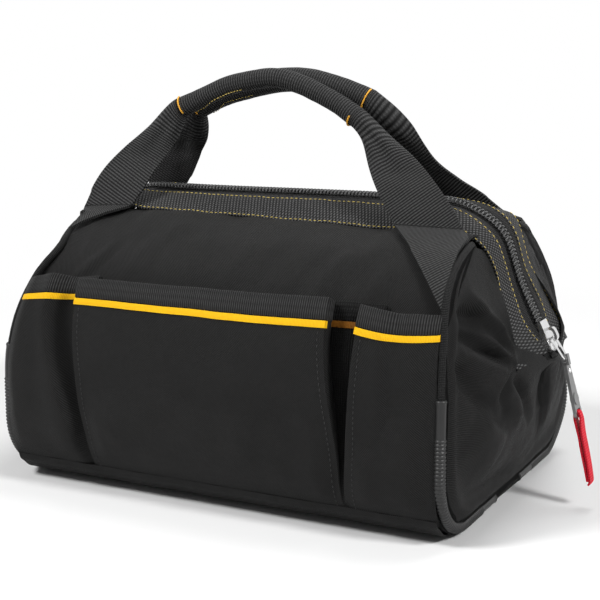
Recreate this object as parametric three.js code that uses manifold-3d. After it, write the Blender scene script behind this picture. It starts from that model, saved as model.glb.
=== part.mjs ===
// A zippered tool bag of sewn fabric, in millimetres, +Z up and +X along its length.
// The origin is the middle of the flat bottom face, where the bag rests.
import * as THREE from "three";
import * as BufferGeometryUtils from "three/addons/utils/BufferGeometryUtils.js";
import Module from "manifold-3d";

// Body of the bag
const body_half_length = 138;
const top_half_length = 131;
const body_half_depth = 105;
const corner_radius = 35;
const wall_top = 88;
const narrowing_start = 108;
const panel_top_y = 38.9;
const panel_top_z = 164.6;
const shoulder_swell = 48;
const shoulder_reach = 43;
const shoulder_lift = 7;
const fabric = 1.8;
const seam_gap = 0.4;
const board_thickness = 3;
const board_margin = 7;

// Piping and corner protectors
const piping_radius = 2;
const piping_bottom = 4.8;
const piping_top_y = 47;
const seam_top_z = 157.5;
const end_panel_inset = 3.9;
const protector_wall = 1;
const protector_top = 84;
const protector_end_y = 24;
const protector_smooth = 20;
const rib_pitch = 6;
const rib_height = 0.55;
const protector_opening = 1.3;

// End panels
const end_bulge = 7;
const notch_length = 72;
const notch_depth = 3.6;
const notch_corner_share = 0.97;
const notch_floor_share = 0.4;
const top_corner_droop = 6;
const droop_start = 85;

// Mouth: zip chain, tapes and webbing bands
const mouth_top = 173;
const mouth_corner_x = 119.9;
const zip_end_x = 164.7;
const zip_end_z = 86;
const mouth_bend_radius = 41;
const chain_gap = 0.6;
const coil_width = 3.2;
const coil_height = 1.9;
const coil_crest_share = 0.45;
const tooth_pitch = 5;
const tooth_depth = 0.75;
const tape_thickness = 0.9;
const tape_outer = 20;
const band_inner = 17;
const band_outer = 38;
const band_thickness = 1.5;
const band_fall_top = 8;
const band_fall_bend = -1;
const band_fall_end = 4;
const zip_stop_length = 3;

// Zip slider and pull
const slider_length = 18.6;
const slider_width = 14.4;
const slider_tail_width = 10.4;
const slider_waist = 0.9;
const slider_shoulder = 1.9;
const slider_plate = 1.3;
const slider_from_end = 13;
const slider_clear = 0.6;
const wedge_start = 3.3;
const wedge_end = 7.8;
const wedge_clear = 0.05;
const sunk_joint = 0.2;
const crown_length = 9;
const crown_width = 3.6;
const crown_height = 4.6;
const crown_wire = 1.5;
const crown_roundness = 0.6;
const link_wire = 1.5;
const link_length = 15;
const link_width = 7.4;
const link_corner = 1.5;
const pull_length = 34.5;
const pull_top_width = 6;
const pull_bottom_width = 10;
const pull_thickness = 1.8;
const pull_corner = 2.5;
const link_hang = 35;
const pull_hang = 15;
const cord_hang = 13;
const tongue_width = 3.2;
const tongue_wall = 0.9;
const slot_width = 5.6;
const slot_height = 2.6;
const slot_from_end = 3.4;
const boss_radius = 3.6;
const boss_height = 0.5;
const boss_from_end = 10.6;
const rivet_radius = 1.5;
const rivet_gap = 0.05;
const cord_loop_length = 42;
const cord_loop_ply = 1.5;
const cord_neck = 9;

// Pockets
const pocket_stand = 7.6;
const pocket_bottom = 12;
const pocket_seam_gap = 0.9;
const pocket_top = 124;
const pocket_ends = 14;
const binding_height = 9;
const binding_thickness = 0.9;
const ribbon_height = 3.2;
const ribbon_thickness = 0.8;
const centre_pocket_left = -88;
const centre_pocket_right = 74;
const right_pocket_left = 90;
const pocket_edge_margin = 5;

// Handles
const handle_fold_y = 42.4;
const grip_radius = 5.4;
const grip_top = 234.5;
const grip_end_z = 218.5;
const grip_end_y = 9;
const grip_top_y = 6.6;
const grip_shoulder_share = 0.72;
const grip_left = -77.5;
const grip_right = 43.5;
const rear_grip_rise = 3;
const strap_width = 38;
const strap_thickness = 1.6;
const strap_root_right = 97.5;
const strap_root_left = -110;
const strap_neck = 10;
const strap_outward_bow = 3;
const strap_bulge = 0.72;
const strap_inner_through = [0.45, 0.58];
const strap_outer_through = [0.5, 0.44];
const anchor_low_y = 92;
const anchor_high_y = 51;

const wasm = await Module();
wasm.setup();

const bag = new THREE.Group();
const black_fabric = new THREE.MeshStandardMaterial({ color: 0x232324, roughness: 0.9 });
const black_webbing = new THREE.MeshStandardMaterial({ color: 0x1b1b1c, roughness: 0.85 });
const grey_plastic = new THREE.MeshStandardMaterial({ color: 0x4a4b4d, roughness: 0.5 });
const zip_black = new THREE.MeshStandardMaterial({ color: 0x161617, roughness: 0.45 });
const yellow_ribbon = new THREE.MeshStandardMaterial({ color: 0xfdc50c, roughness: 0.7 });
const bright_metal = new THREE.MeshStandardMaterial({ color: 0xc9cacb, roughness: 0.2, metalness: 1 });
const dark_metal = new THREE.MeshStandardMaterial({ color: 0x6f7174, roughness: 0.35, metalness: 1 });
const red_cord = new THREE.MeshStandardMaterial({ color: 0xe31e37, roughness: 0.8 });
const board_grey = new THREE.MeshStandardMaterial({ color: 0x3a3a3a, roughness: 0.8 });

function add(name, geometry, material, group = bag) {
  const mesh = new THREE.Mesh(geometry, material.clone());
  mesh.name = name;
  group.add(mesh);
  return mesh;
}

const mix = THREE.MathUtils.lerp;
const smooth = THREE.MathUtils.smoothstep;

// A closed solid from rings of points. Each ring holds the section's outer side and then its
// inner side back again, with as many points, so that the end caps are strips between the two.
function solidFromRings(rings) {
  const count = rings[0].length;
  const positions = rings.flat().flatMap((p) => [p.x, p.y, p.z]);
  const faces = [];
  for (let i = 0; i + 1 < rings.length; i += 1) {
    for (let j = 0; j < count; j += 1) {
      const k = (j + 1) % count;
      const a = i * count + j;
      const b = i * count + k;
      faces.push(a, b, b + count, a, b + count, a + count);
    }
  }
  const last = (rings.length - 1) * count;
  for (const [a, b, c] of capStrip(count)) {
    faces.push(c, b, a);
    faces.push(last + a, last + b, last + c);
  }
  return facingOut(positions, faces);
}

function capStrip(count) {
  const cap = [];
  for (let j = 0; j + 1 < count / 2; j += 1) {
    const across = count - 1 - j;
    if (across - 1 > j + 1) cap.push([j, j + 1, across - 1]);
    cap.push([j, across - 1, across]);
  }
  return cap;
}

function facingOut(positions, faces) {
  const point = (i) => new THREE.Vector3(positions[3 * i], positions[3 * i + 1], positions[3 * i + 2]);
  let volume = 0;
  for (let i = 0; i < faces.length; i += 3) {
    volume += point(faces[i]).dot(point(faces[i + 1]).cross(point(faces[i + 2])));
  }
  const turned = volume < 0 ? faces.slice().reverse() : faces;
  const geometry = new THREE.BufferGeometry();
  geometry.setAttribute("position", new THREE.Float32BufferAttribute(positions, 3));
  geometry.setIndex(turned);
  return geometry;
}

// A sheet of even thickness: surface(u, v) is its outer face, and its inner face lies below it.
function sheet(surface, countU, countV, thickness) {
  const rings = [];
  for (let i = 0; i <= countU; i += 1) {
    const outer = [];
    const inner = [];
    for (let j = 0; j <= countV; j += 1) {
      const u = i / countU;
      const v = j / countV;
      const p = surface(u, v);
      outer.push(p);
      inner.unshift(p.clone().addScaledVector(surfaceNormal(surface, u, v), -thickness));
    }
    rings.push(outer.concat(inner));
  }
  return solidFromRings(rings);
}

function surfaceNormal(surface, u, v) {
  const step = 0.002;
  const alongU = surface(Math.min(u + step, 1), v).sub(surface(Math.max(u - step, 0), v));
  const alongV = surface(u, Math.min(v + step, 1)).sub(surface(u, Math.max(v - step, 0)));
  return alongU.cross(alongV).normalize();
}

// A tube of round section along a curve.
function tube(curve, radius, steps, sides) {
  const section = new THREE.Shape();
  section.absarc(0, 0, radius, 0, 2 * Math.PI);
  return new THREE.ExtrudeGeometry(section,
    { steps, curveSegments: sides, extrudePath: curve, bevelEnabled: false });
}

function toManifold(geometry) {
  const bare = geometry.clone();
  bare.deleteAttribute("normal");
  bare.deleteAttribute("uv");
  const merged = BufferGeometryUtils.mergeVertices(bare, 1e-4);
  return new wasm.Manifold(new wasm.Mesh({
    numProp: 3,
    vertProperties: new Float32Array(merged.attributes.position.array),
    triVerts: new Uint32Array(merged.index.array),
  }));
}

function fromManifold(solid) {
  const mesh = solid.getMesh();
  const geometry = new THREE.BufferGeometry();
  geometry.setAttribute("position", new THREE.Float32BufferAttribute(mesh.vertProperties, 3));
  geometry.setIndex(Array.from(mesh.triVerts));
  return geometry;
}

// Profile of the front wall in the YZ plane, from the bottom panel's edge to the zip band.
// Depth is how far out of the bag's middle plane, so the rear wall is its mirror image.
function wallProfile(depth, bottom, topDepth, topZ) {
  const profile = new THREE.CurvePath();
  const arc = new THREE.EllipseCurve(depth - corner_radius, bottom + corner_radius,
    corner_radius, corner_radius, -Math.PI / 2, 0);
  const wallStart = new THREE.Vector2(depth, bottom + corner_radius);
  const wallEnd = new THREE.Vector2(depth, wall_top);
  profile.add(arc);
  profile.add(new THREE.LineCurve(wallStart, wallEnd));
  profile.add(new THREE.CubicBezierCurve(wallEnd,
    new THREE.Vector2(depth, wall_top + shoulder_swell),
    new THREE.Vector2(topDepth + shoulder_reach, topZ - shoulder_lift),
    new THREE.Vector2(topDepth, topZ)));
  return profile;
}

const wall = wallProfile(body_half_depth, 0, panel_top_y, panel_top_z);
const wall_length = wall.getLength();

// The share of the wall's profile at which it is a given height.
function shareAtHeight(height) {
  let low = 0;
  let high = 1;
  for (let i = 0; i < 40; i += 1) {
    const middle = (low + high) / 2;
    if (wall.getPointAt(middle).y < height) low = middle;
    else high = middle;
  }
  return low;
}

function shareAtDepth(depth) {
  let low = shareAtHeight(wall_top);
  let high = 1;
  for (let i = 0; i < 40; i += 1) {
    const middle = (low + high) / 2;
    if (wall.getPointAt(middle).x > depth) low = middle;
    else high = middle;
  }
  return low;
}

// Half the bag's length at a height: its ends lean in towards the top.
function halfLength(z) {
  const lean = Math.max(0, (z - narrowing_start) / (panel_top_z - narrowing_start));
  return mix(body_half_length, top_half_length, Math.pow(lean, 1.5));
}

// A point on the wall, at x and a share of the profile, standing off it along the normal.
function onWall(side, x, share, standOff = 0) {
  const p = wall.getPointAt(share);
  const t = wall.getTangentAt(share);
  const depth = p.x + t.y * standOff;
  return new THREE.Vector3(x, side * depth, p.y - t.x * standOff - droop(x, p.y));
}

// How far the shoulder's corners hang below its middle.
function droop(x, z) {
  const outwards = Math.max(0, Math.abs(x) - droop_start) / (top_half_length - droop_start);
  const upwards = Math.max(0, z - wall_top) / (panel_top_z - wall_top);
  return top_corner_droop * Math.pow(outwards, 2) * Math.pow(upwards, 1.5);
}

const piping_inset = piping_radius + seam_gap;
const strap_lift = 2 * seam_gap + strap_thickness;

function bottomPanel() {
  const half_y = body_half_depth - corner_radius - seam_gap;
  const half_x = body_half_length - piping_inset;
  const panel = new THREE.BoxGeometry(2 * half_x, 2 * half_y, fabric);
  panel.translate(0, 0, fabric / 2);
  add("base_panel", panel, black_fabric);
  const width = 2 * (half_x - board_margin);
  const depth = 2 * (half_y - board_margin);
  const board = new THREE.BoxGeometry(width, depth, board_thickness);
  board.translate(0, 0, fabric + seam_gap + board_thickness / 2);
  add("base_board", board, board_grey);
}

function wallPanel(side, name) {
  const surface = (u, v) => {
    const z = wall.getPointAt(v).y;
    const reach = halfLength(z) - piping_inset;
    const x = mix(-reach, reach, u);
    return onWall(side, side < 0 ? x : -x, v);
  };
  add(name, sheet(surface, 8, 18, fabric), black_fabric);
}

// The D-shaped line of the end seams, from the front top round the bottom to the rear top.
function endSeam(side) {
  const half = wallProfile(body_half_depth + seam_gap, piping_bottom, piping_top_y, seam_top_z);
  const count = 26;
  const front = [];
  for (let i = 0; i <= count; i += 1) {
    const p = half.getPointAt(1 - i / count);
    front.push(new THREE.Vector3(side * halfLength(p.y), -p.x, p.y));
  }
  const rear = front.map((p) => new THREE.Vector3(p.x, -p.y, p.z)).reverse();
  return new THREE.CatmullRomCurve3(front.concat(rear), false, "centripetal");
}

function piping(side, name) {
  add(name, tube(endSeam(side), piping_radius, 48, 3), black_webbing);
}

// The stretch of an end seam that a protector covers, as shares of the seam's length.
function protectorSpan(seam, rear) {
  const shareWhere = (test) => {
    for (let i = 0; i <= 400; i += 1) {
      if (test(seam.getPointAt(i / 400))) return i / 400;
    }
    return 1;
  };
  const top = shareWhere((p) => p.z < protector_top);
  const end = shareWhere((p) => p.z < wall_top / 2 && -p.y < protector_end_y);
  return rear ? [1 - end, 1 - top] : [top, end];
}

// A moulded sleeve over the piping: an open ring in section, with ribs round the corner.
function protector(side, rear, name) {
  const seam = endSeam(side);
  const [from, to] = protectorSpan(seam, rear);
  const length = (to - from) * seam.getLength();
  const smoothShare = protector_smooth / length;
  const rings = [];
  const ribs = Math.round((length - 2 * protector_smooth) / rib_pitch);
  const stations = [0, smoothShare / 2, smoothShare];
  for (let i = 1; i < 2 * ribs; i += 1) {
    stations.push(mix(smoothShare, 1 - smoothShare, i / (2 * ribs)));
  }
  stations.push(1 - smoothShare, 1 - smoothShare / 2, 1);
  stations.forEach((station, index) => {
    const ribbed = station > smoothShare && station < 1 - smoothShare;
    const raised = ribbed && index % 2 === 1 ? rib_height : 0;
    rings.push(sleeveRing(seam, mix(from, to, station), side, raised));
  });
  add(name, solidFromRings(rings), grey_plastic);
}

function sleeveRing(seam, share, side, raised) {
  const centre = seam.getPointAt(share);
  const along = seam.getTangentAt(share);
  const outward = new THREE.Vector3(side, 0, 0);
  outward.addScaledVector(along, -outward.dot(along)).normalize();
  const away = along.clone().cross(outward).normalize();
  if (away.dot(new THREE.Vector3(0, centre.y, centre.z - wall_top)) < 0) away.negate();
  const count = 3;
  const flat_allowance = Math.cos(protector_opening / count);
  const inner_radius = (piping_radius + seam_gap) / flat_allowance;
  const outer_radius = inner_radius + protector_wall + raised;
  const place = (radius, angle) => centre.clone()
    .addScaledVector(outward, radius * Math.cos(angle))
    .addScaledVector(away, radius * Math.sin(angle));
  const ring = [];
  for (let i = 0; i <= count; i += 1) {
    const angle = Math.PI / 4 + mix(-protector_opening, protector_opening, i / count);
    ring.push(place(outer_radius, angle));
  }
  for (let i = count; i >= 0; i -= 1) {
    const angle = Math.PI / 4 + mix(-protector_opening, protector_opening, i / count);
    ring.push(place(inner_radius, angle));
  }
  return ring;
}

// The zip's centre line in the XZ plane: up one end, across the top and down the other.
function zipLine() {
  const corner = new THREE.Vector2(mouth_corner_x, mouth_top);
  const end = new THREE.Vector2(zip_end_x, zip_end_z);
  const down = end.clone().sub(corner).normalize();
  const turn = Math.acos(down.x);
  const tangent = mouth_bend_radius * Math.tan(turn / 2);
  const centre_x = corner.x - tangent;
  const centre_z = mouth_top - mouth_bend_radius;
  const line = new THREE.CurvePath();
  const foot = corner.clone().addScaledVector(down, tangent);
  line.add(new THREE.LineCurve(new THREE.Vector2(-end.x, end.y), new THREE.Vector2(-foot.x, foot.y)));
  line.add(new THREE.EllipseCurve(-centre_x, centre_z, mouth_bend_radius, mouth_bend_radius,
    Math.PI / 2 + turn, Math.PI / 2, true));
  line.add(new THREE.LineCurve(new THREE.Vector2(-centre_x, mouth_top),
    new THREE.Vector2(centre_x, mouth_top)));
  line.add(new THREE.EllipseCurve(centre_x, centre_z, mouth_bend_radius, mouth_bend_radius,
    Math.PI / 2, Math.PI / 2 - turn, true));
  line.add(new THREE.LineCurve(foot, end));
  return line;
}

const zip_line = zipLine();
const zip_length = zip_line.getLength();

// A point of the mouth: along the zip, out from its middle, and raised off the band's face.
function onMouth(side, share, out, raised = 0) {
  const p = zip_line.getPointAt(share);
  const t = zip_line.getTangentAt(share);
  const fall = edgeFall(Math.abs(p.x)) * Math.pow(out / band_outer, 1.3);
  const height = raised - fall;
  return new THREE.Vector3(p.x - t.y * height, side * out, p.y + t.x * height);
}

// How far the band's outer edge lies below the zip: most on the top, least round the bend.
function edgeFall(x) {
  const to_bend = smooth(x, mouth_corner_x - mouth_bend_radius, mouth_corner_x + 4);
  const to_end = smooth(x, mouth_corner_x + 6, zip_end_x - 10);
  return mix(mix(band_fall_top, band_fall_bend, to_bend), band_fall_end, to_end);
}

// Shares of the zip's length where a sweep along the mouth has its rings.
function mouthStations(from, to) {
  const stations = [];
  const straight = 5;
  const bend = 7;
  const parts = zip_line.getCurveLengths().map((length) => length / zip_length);
  const starts = [0].concat(parts);
  parts.forEach((part, index) => {
    const count = index % 2 === 1 ? bend : straight;
    for (let i = 0; i < count; i += 1) stations.push(mix(starts[index], part, i / count));
  });
  stations.push(1);
  return [from].concat(stations.filter((s) => s > from + 0.004 && s < to - 0.004), [to]);
}

// A strip along the mouth between two distances from the zip's middle.
function mouthStrip(side, inner, outer, top, thickness, pieces, inset = 0) {
  const rings = mouthStations(inset / zip_length, 1 - inset / zip_length).map((share) => {
    const ring = [];
    for (let i = 0; i <= pieces; i += 1) {
      ring.push(onMouth(side, share, mix(inner, outer, i / pieces), top));
    }
    for (let i = pieces; i >= 0; i -= 1) {
      ring.push(onMouth(side, share, mix(inner, outer, i / pieces), top - thickness));
    }
    return ring;
  });
  return solidFromRings(rings);
}

const tape_top = -band_thickness - seam_gap;

// Half of the zip chain: a moulded coil whose turns stand up as ribs, all along the mouth.
function coil(side) {
  const inner = chain_gap;
  const outer = chain_gap + coil_width;
  const base = tape_top + seam_gap;
  const inset = zip_stop_length + seam_gap;
  const turns = Math.round((zip_length - 2 * inset) / tooth_pitch);
  const rings = [];
  for (let i = 0; i <= 2 * turns; i += 1) {
    const share = mix(inset, zip_length - inset, i / (2 * turns)) / zip_length;
    const crest = base + coil_height - (i % 2 === 0 ? tooth_depth : 0);
    rings.push([
      onMouth(side, share, inner, base),
      onMouth(side, share, outer, base),
      onMouth(side, share, mix(inner, outer, coil_crest_share), crest),
    ]);
  }
  return solidFromRings(rings);
}

function mouthHalf(side, name) {
  const band = mouthStrip(side, band_inner, band_outer, 0, band_thickness, 3);
  add(`${name}_zip_band`, band, black_webbing);
  const tape = mouthStrip(side, chain_gap / 2, tape_outer, tape_top, tape_thickness, 2);
  add(`${name}_zip_tape`, tape, zip_black);
  add(`${name}_zip_coil`, coil(side), zip_black);
}

// The cloth tab that closes each end of the chain, sewn across both tapes.
function zipStop(end, name) {
  const across = [-1, -0.5, 0, 0.5, 1];
  const half_width = band_inner - seam_gap;
  const rings = [0, zip_stop_length].map((distance) => {
    const share = (end < 0 ? distance : zip_length - distance) / zip_length;
    const place = (k, raised) => onMouth(Math.sign(k) || 1, share, Math.abs(k) * half_width, raised);
    const low = across.map((k) => place(k, tape_top + seam_gap));
    const high = across.map((k) => place(k, tape_top + seam_gap + coil_height * (1 - k * k * 0.5)));
    return high.concat(low.reverse());
  });
  add(name, solidFromRings(rings), black_webbing);
}

// End panel: a crowned sheet between the band's outer edge and the end seam.
function endPanel(side, name) {
  const seam = endSeam(side);
  const notch = notchLine(side);
  const surface = (u, v) => {
    const inner = notch.getPointAt(u);
    const edge = seam.getPointAt(mix(0.012, 0.988, u));
    const inwards = inner.clone().sub(edge).normalize();
    const outer = edge.clone().addScaledVector(inwards, end_panel_inset);
    const p = inner.lerp(outer, v);
    const crown = Math.sin(Math.PI * v) * Math.sin(Math.PI * u);
    p.x += side * end_bulge * crown;
    return p;
  };
  const turned = (u, v) => surface(side < 0 ? 1 - u : u, v);
  add(name, sheet(turned, 26, 5, fabric), black_fabric);
}

// The end panel's inner edge: down the band on one side, across under the zip's end, and up.
function notchLine(side) {
  const out = band_outer + 3 * seam_gap;
  const points = [];
  const count = 7;
  for (let i = 0; i <= count; i += 1) {
    const distance = mix(notch_length, 0, i / count);
    const share = (side < 0 ? distance : zip_length - distance) / zip_length;
    points.push(onMouth(-1, share, out, -1));
  }
  const low = points[count].clone();
  const middle = onMouth(-1, side < 0 ? 0 : 1, 0, 0);
  const below = new THREE.Vector3(middle.x, 0, middle.z - notch_depth);
  const corner = new THREE.Vector3(low.x, low.y * notch_corner_share, low.z - notch_depth);
  const front = points.concat([corner, below.clone().setY(low.y * notch_floor_share)]);
  const rear = front.map((p) => new THREE.Vector3(p.x, -p.y, p.z)).reverse();
  return new THREE.CatmullRomCurve3(front.concat(rear), false, "centripetal");
}

// Pockets: each is a sheet that stands off the wall, sewn down at its bottom and its two sides.
function pocketStand(across, share, bottom, length) {
  const fromSide = Math.min(across, 1 - across) * length;
  const sides = smooth(fromSide, 0, pocket_ends);
  const rise = smooth(share, bottom, bottom + (1 - bottom) * 0.28);
  return pocket_stand * sides * rise;
}

// Shares of a pocket's width: two steps over each sewn side, and the rest between them.
function pocketSpread(u, length) {
  const side = pocket_ends / length;
  if (u < 0.25) return side * u / 0.25;
  if (u > 0.75) return 1 - side * (1 - u) / 0.25;
  return mix(side, 1 - side, (u - 0.25) / 0.5);
}

function pocket(side, left, right, name) {
  const bottom = shareAtHeight(pocket_bottom);
  const top = shareAtHeight(pocket_top);
  const lift = pocket_seam_gap + fabric;
  const standOff = (across, share) => lift + pocketStand(across, share, bottom, right - left);
  const place = (u, share, extra) => {
    const across = pocketSpread(u, right - left);
    const x = mix(left, right, across);
    return onWall(side, x, share, standOff(across, share) + extra);
  };
  const surface = (u, v) => place(side < 0 ? u : 1 - u, mix(bottom, top, v), 0);
  add(`${name}_pocket`, sheet(surface, 8, 10, fabric), black_fabric);
  const up = (distance) => top + distance / wall_length;
  const along = (u, [rise, out]) => place(side < 0 ? u : 1 - u, up(rise), out);
  const fold = binding_thickness + seam_gap;
  const binding = [[-binding_height, fold], [fold, fold], [fold, -fabric],
    [seam_gap, -fabric], [seam_gap, seam_gap], [-binding_height, seam_gap]];
  add(`${name}_binding`, strip(along, binding), black_webbing);
  const low = -binding_height - seam_gap - ribbon_height;
  const face = seam_gap + ribbon_thickness;
  const ribbon = [[low, face], [low + ribbon_height, face], [low + ribbon_height, seam_gap],
    [low, seam_gap]];
  add(`${name}_ribbon`, strip(along, ribbon), yellow_ribbon);
}

function strip(place, corners) {
  const rings = [];
  const count = 8;
  for (let i = 0; i <= count; i += 1) {
    rings.push(corners.map((corner) => place(i / count, corner)));
  }
  return solidFromRings(rings);
}

function pockets() {
  const edge = body_half_length - piping_inset - pocket_edge_margin;
  const gap = 1;
  pocket(-1, centre_pocket_left, centre_pocket_right, "front_centre");
  pocket(-1, -edge, centre_pocket_left - gap, "front_left");
  pocket(-1, right_pocket_left, edge, "front_right");
  pocket(1, -edge, edge, "rear");
}

// Handles: a rolled grip, two flat straps that widen down to the bag, and their sewn ends.
function gripLine(side, rise) {
  const middle = (grip_left + grip_right) / 2;
  const end = (x) => new THREE.Vector3(x, side * grip_end_y, grip_end_z + rise);
  const shoulder = (x) => new THREE.Vector3(x, side * mix(grip_end_y, grip_top_y, grip_shoulder_share),
    mix(grip_end_z, grip_top, grip_shoulder_share) + rise);
  return new THREE.CatmullRomCurve3([
    end(grip_left), shoulder(mix(grip_left, middle, 0.5)),
    new THREE.Vector3(middle, side * grip_top_y, grip_top + rise),
    shoulder(mix(middle, grip_right, 0.5)), end(grip_right),
  ]);
}

// A strap runs between two edge curves, from a neck at the grip's end to the fold on the bag.
function strap(side, end, rise, name) {
  const line = gripLine(side, rise);
  const at = end > 0 ? 1 : 0;
  const away = line.getTangentAt(at).multiplyScalar(end);
  const neck = line.getPointAt(at).addScaledVector(away, seam_gap);
  const across = new THREE.Vector3(-away.z * end, 0, away.x * end).multiplyScalar(strap_neck / 2);
  const root_x = end > 0 ? strap_root_right : strap_root_left;
  const edge = (sign, [share_x, share_z], bow) => {
    const from = neck.clone().addScaledVector(across, sign);
    const to_x = root_x + sign * end * strap_width / 2;
    const to = foldPoint(side, to_x);
    const through = new THREE.Vector3(mix(from.x, to.x, share_x) + end * bow,
      mix(from.y, to.y, strap_bulge), mix(from.z, to.z, share_z));
    return new THREE.QuadraticBezierCurve3(from, through, to);
  };
  const inner = edge(-1, strap_inner_through, 0);
  const outer = edge(1, strap_outer_through, strap_outward_bow);
  const surface = (u, v) => inner.getPoint(u).lerp(outer.getPoint(u), v);
  const flip = side * end > 0;
  const turned = (u, v) => surface(u, flip ? 1 - v : v);
  add(name, sheet(turned, 8, 2, strap_thickness), black_webbing);
}

// Where a strap folds at the bag: a level line just over the edge of the sewn end that carries it.
function foldPoint(side, x) {
  const fold = onWall(side, 0, shareAtDepth(handle_fold_y), strap_lift);
  return new THREE.Vector3(x, fold.y - side * seam_gap, fold.z + seam_gap);
}

// The end of a strap that is sewn down on the shoulder, out to the end seam.
function strapAnchor(side, end, name) {
  const root_x = end > 0 ? strap_root_right : strap_root_left;
  const top_share = shareAtDepth(handle_fold_y);
  const seamX = (depth) => {
    const z = wall.getPointAt(shareAtDepth(depth)).y;
    return end * (halfLength(z) - piping_inset - seam_gap);
  };
  const near = (v) => [root_x + end * mix(-0.5, 0.5, v) * strap_width, top_share];
  const far = (v) => {
    const depth = mix(anchor_low_y, anchor_high_y, v);
    return [seamX(depth), shareAtDepth(depth)];
  };
  const surface = (u, v) => {
    const [x0, s0] = near(v);
    const [x1, s1] = far(v);
    const p = onWall(side, mix(x0, x1, u), mix(s0, s1, u), strap_lift);
    p.z += droop(p.x, p.z) * (1 - u);
    return p;
  };
  const flip = side * end > 0;
  const turned = (u, v) => surface(u, flip ? 1 - v : v);
  add(name, sheet(turned, 5, 4, strap_thickness), black_webbing);
}

function handle(side, name) {
  const rise = side > 0 ? rear_grip_rise : 0;
  add(`${name}_grip`, tube(gripLine(side, rise), grip_radius, 18, 4), black_webbing);
  for (const end of [-1, 1]) {
    const which = end < 0 ? "left" : "right";
    strap(side, end, rise, `${name}_${which}_strap`);
    strapAnchor(side, end, `${name}_${which}_anchor`);
  }
}

// The slider's own frame: x along the zip towards its lower end, y across, z out of the bag.
function sliderFrame() {
  const share = 1 - slider_from_end / zip_length;
  const p = zip_line.getPointAt(share);
  const t = zip_line.getTangentAt(share);
  const frame = new THREE.Group();
  frame.position.set(p.x, 0, p.y);
  frame.rotation.y = Math.atan2(-t.y, t.x);
  bag.add(frame);
  return frame;
}

// The slider's outline: square at its tail and drawn in to a blunt nose.
function sliderPlate(low, high) {
  const half_length = slider_length / 2;
  const half_width = slider_width / 2;
  const outline = new THREE.Shape();
  const half_tail = slider_tail_width / 2;
  outline.moveTo(-half_length, -half_tail);
  outline.quadraticCurveTo(-slider_waist, -half_tail, slider_shoulder, -half_width);
  outline.quadraticCurveTo(half_length, -half_width, half_length, 0);
  outline.quadraticCurveTo(half_length, half_width, slider_shoulder, half_width);
  outline.quadraticCurveTo(-slider_waist, half_tail, -half_length, half_tail);
  outline.closePath();
  const plate = new THREE.ExtrudeGeometry(outline,
    { depth: high - low, curveSegments: 5, bevelEnabled: false });
  return toManifold(plate.translate(0, 0, low));
}

function block(x0, x1, y0, y1, z0, z1) {
  const box = new THREE.BoxGeometry(x1 - x0, y1 - y0, z1 - z0);
  return toManifold(box.translate((x0 + x1) / 2, (y0 + y1) / 2, (z0 + z1) / 2));
}

const chain_top = tape_top + seam_gap + coil_height;
const chain_low = tape_top - tape_thickness;
const slider_top = chain_top + slider_clear + slider_plate;

// Slider: two plates round the chain, joined by a thin wedge between the rows, with a crown.
function slider(frame) {
  const low = chain_low - slider_clear - slider_plate;
  const far = slider_length;
  const chain_half = chain_gap + coil_width + slider_clear;
  const channel = block(-far, far, -chain_half, chain_half, chain_low - slider_clear,
    chain_top + slider_clear);
  const tape_slot = block(-far, far, -far, far, chain_low - slider_clear, tape_top + slider_clear);
  const wedge_half = chain_gap / 2 - wedge_clear;
  const wedge = block(wedge_start, wedge_end, -wedge_half, wedge_half,
    low + sunk_joint, slider_top - sunk_joint);
  const shell = sliderPlate(low, slider_top).subtract(channel).subtract(tape_slot);
  const crown = crownLoop();
  add("zip_slider", fromManifold(shell.add(wedge).add(crown)), bright_metal, frame);
}

// The crown: a flat arch over the top plate, which the pull's link runs through.
function crownLoop() {
  const arch = new THREE.Shape();
  const half = crown_length / 2;
  const foot = slider_top - sunk_joint;
  const crest = slider_top + crown_height;
  const inner = half - crown_wire;
  const roof = crest - crown_wire;
  const bend = half * crown_roundness;
  const inner_bend = inner * crown_roundness;
  arch.moveTo(-half, foot);
  arch.bezierCurveTo(-half, crest, -bend, crest, 0, crest);
  arch.bezierCurveTo(bend, crest, half, crest, half, foot);
  arch.lineTo(inner, foot);
  arch.bezierCurveTo(inner, roof, inner_bend, roof, 0, roof);
  arch.bezierCurveTo(-inner_bend, roof, -inner, roof, -inner, foot);
  arch.closePath();
  const loop = new THREE.ExtrudeGeometry(arch,
    { depth: crown_width, curveSegments: 5, bevelEnabled: false });
  loop.translate(0, 0, -crown_width / 2);
  loop.rotateX(Math.PI / 2);
  return toManifold(loop);
}

const slot_x = pull_length - slot_from_end;
const bar_height = slot_from_end - slot_height / 2;
const bar_x = pull_length - bar_height / 2;
const link_reach = link_length - link_wire;
const crown_reach = crown_length / 2 - crown_wire - link_wire / 2 - seam_gap;
const crown_rise = slider_top + seam_gap + link_wire / 2;

// A part of the pull hangs from its parent's frame: x runs down it, y across and z out of the bag.
function hangingFrame(parent, x, z, parent_hang, hang) {
  const hung = new THREE.Group();
  hung.position.set(x, 0, z);
  hung.rotation.y = THREE.MathUtils.degToRad(parent_hang - hang);
  parent.add(hung);
  return hung;
}

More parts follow.
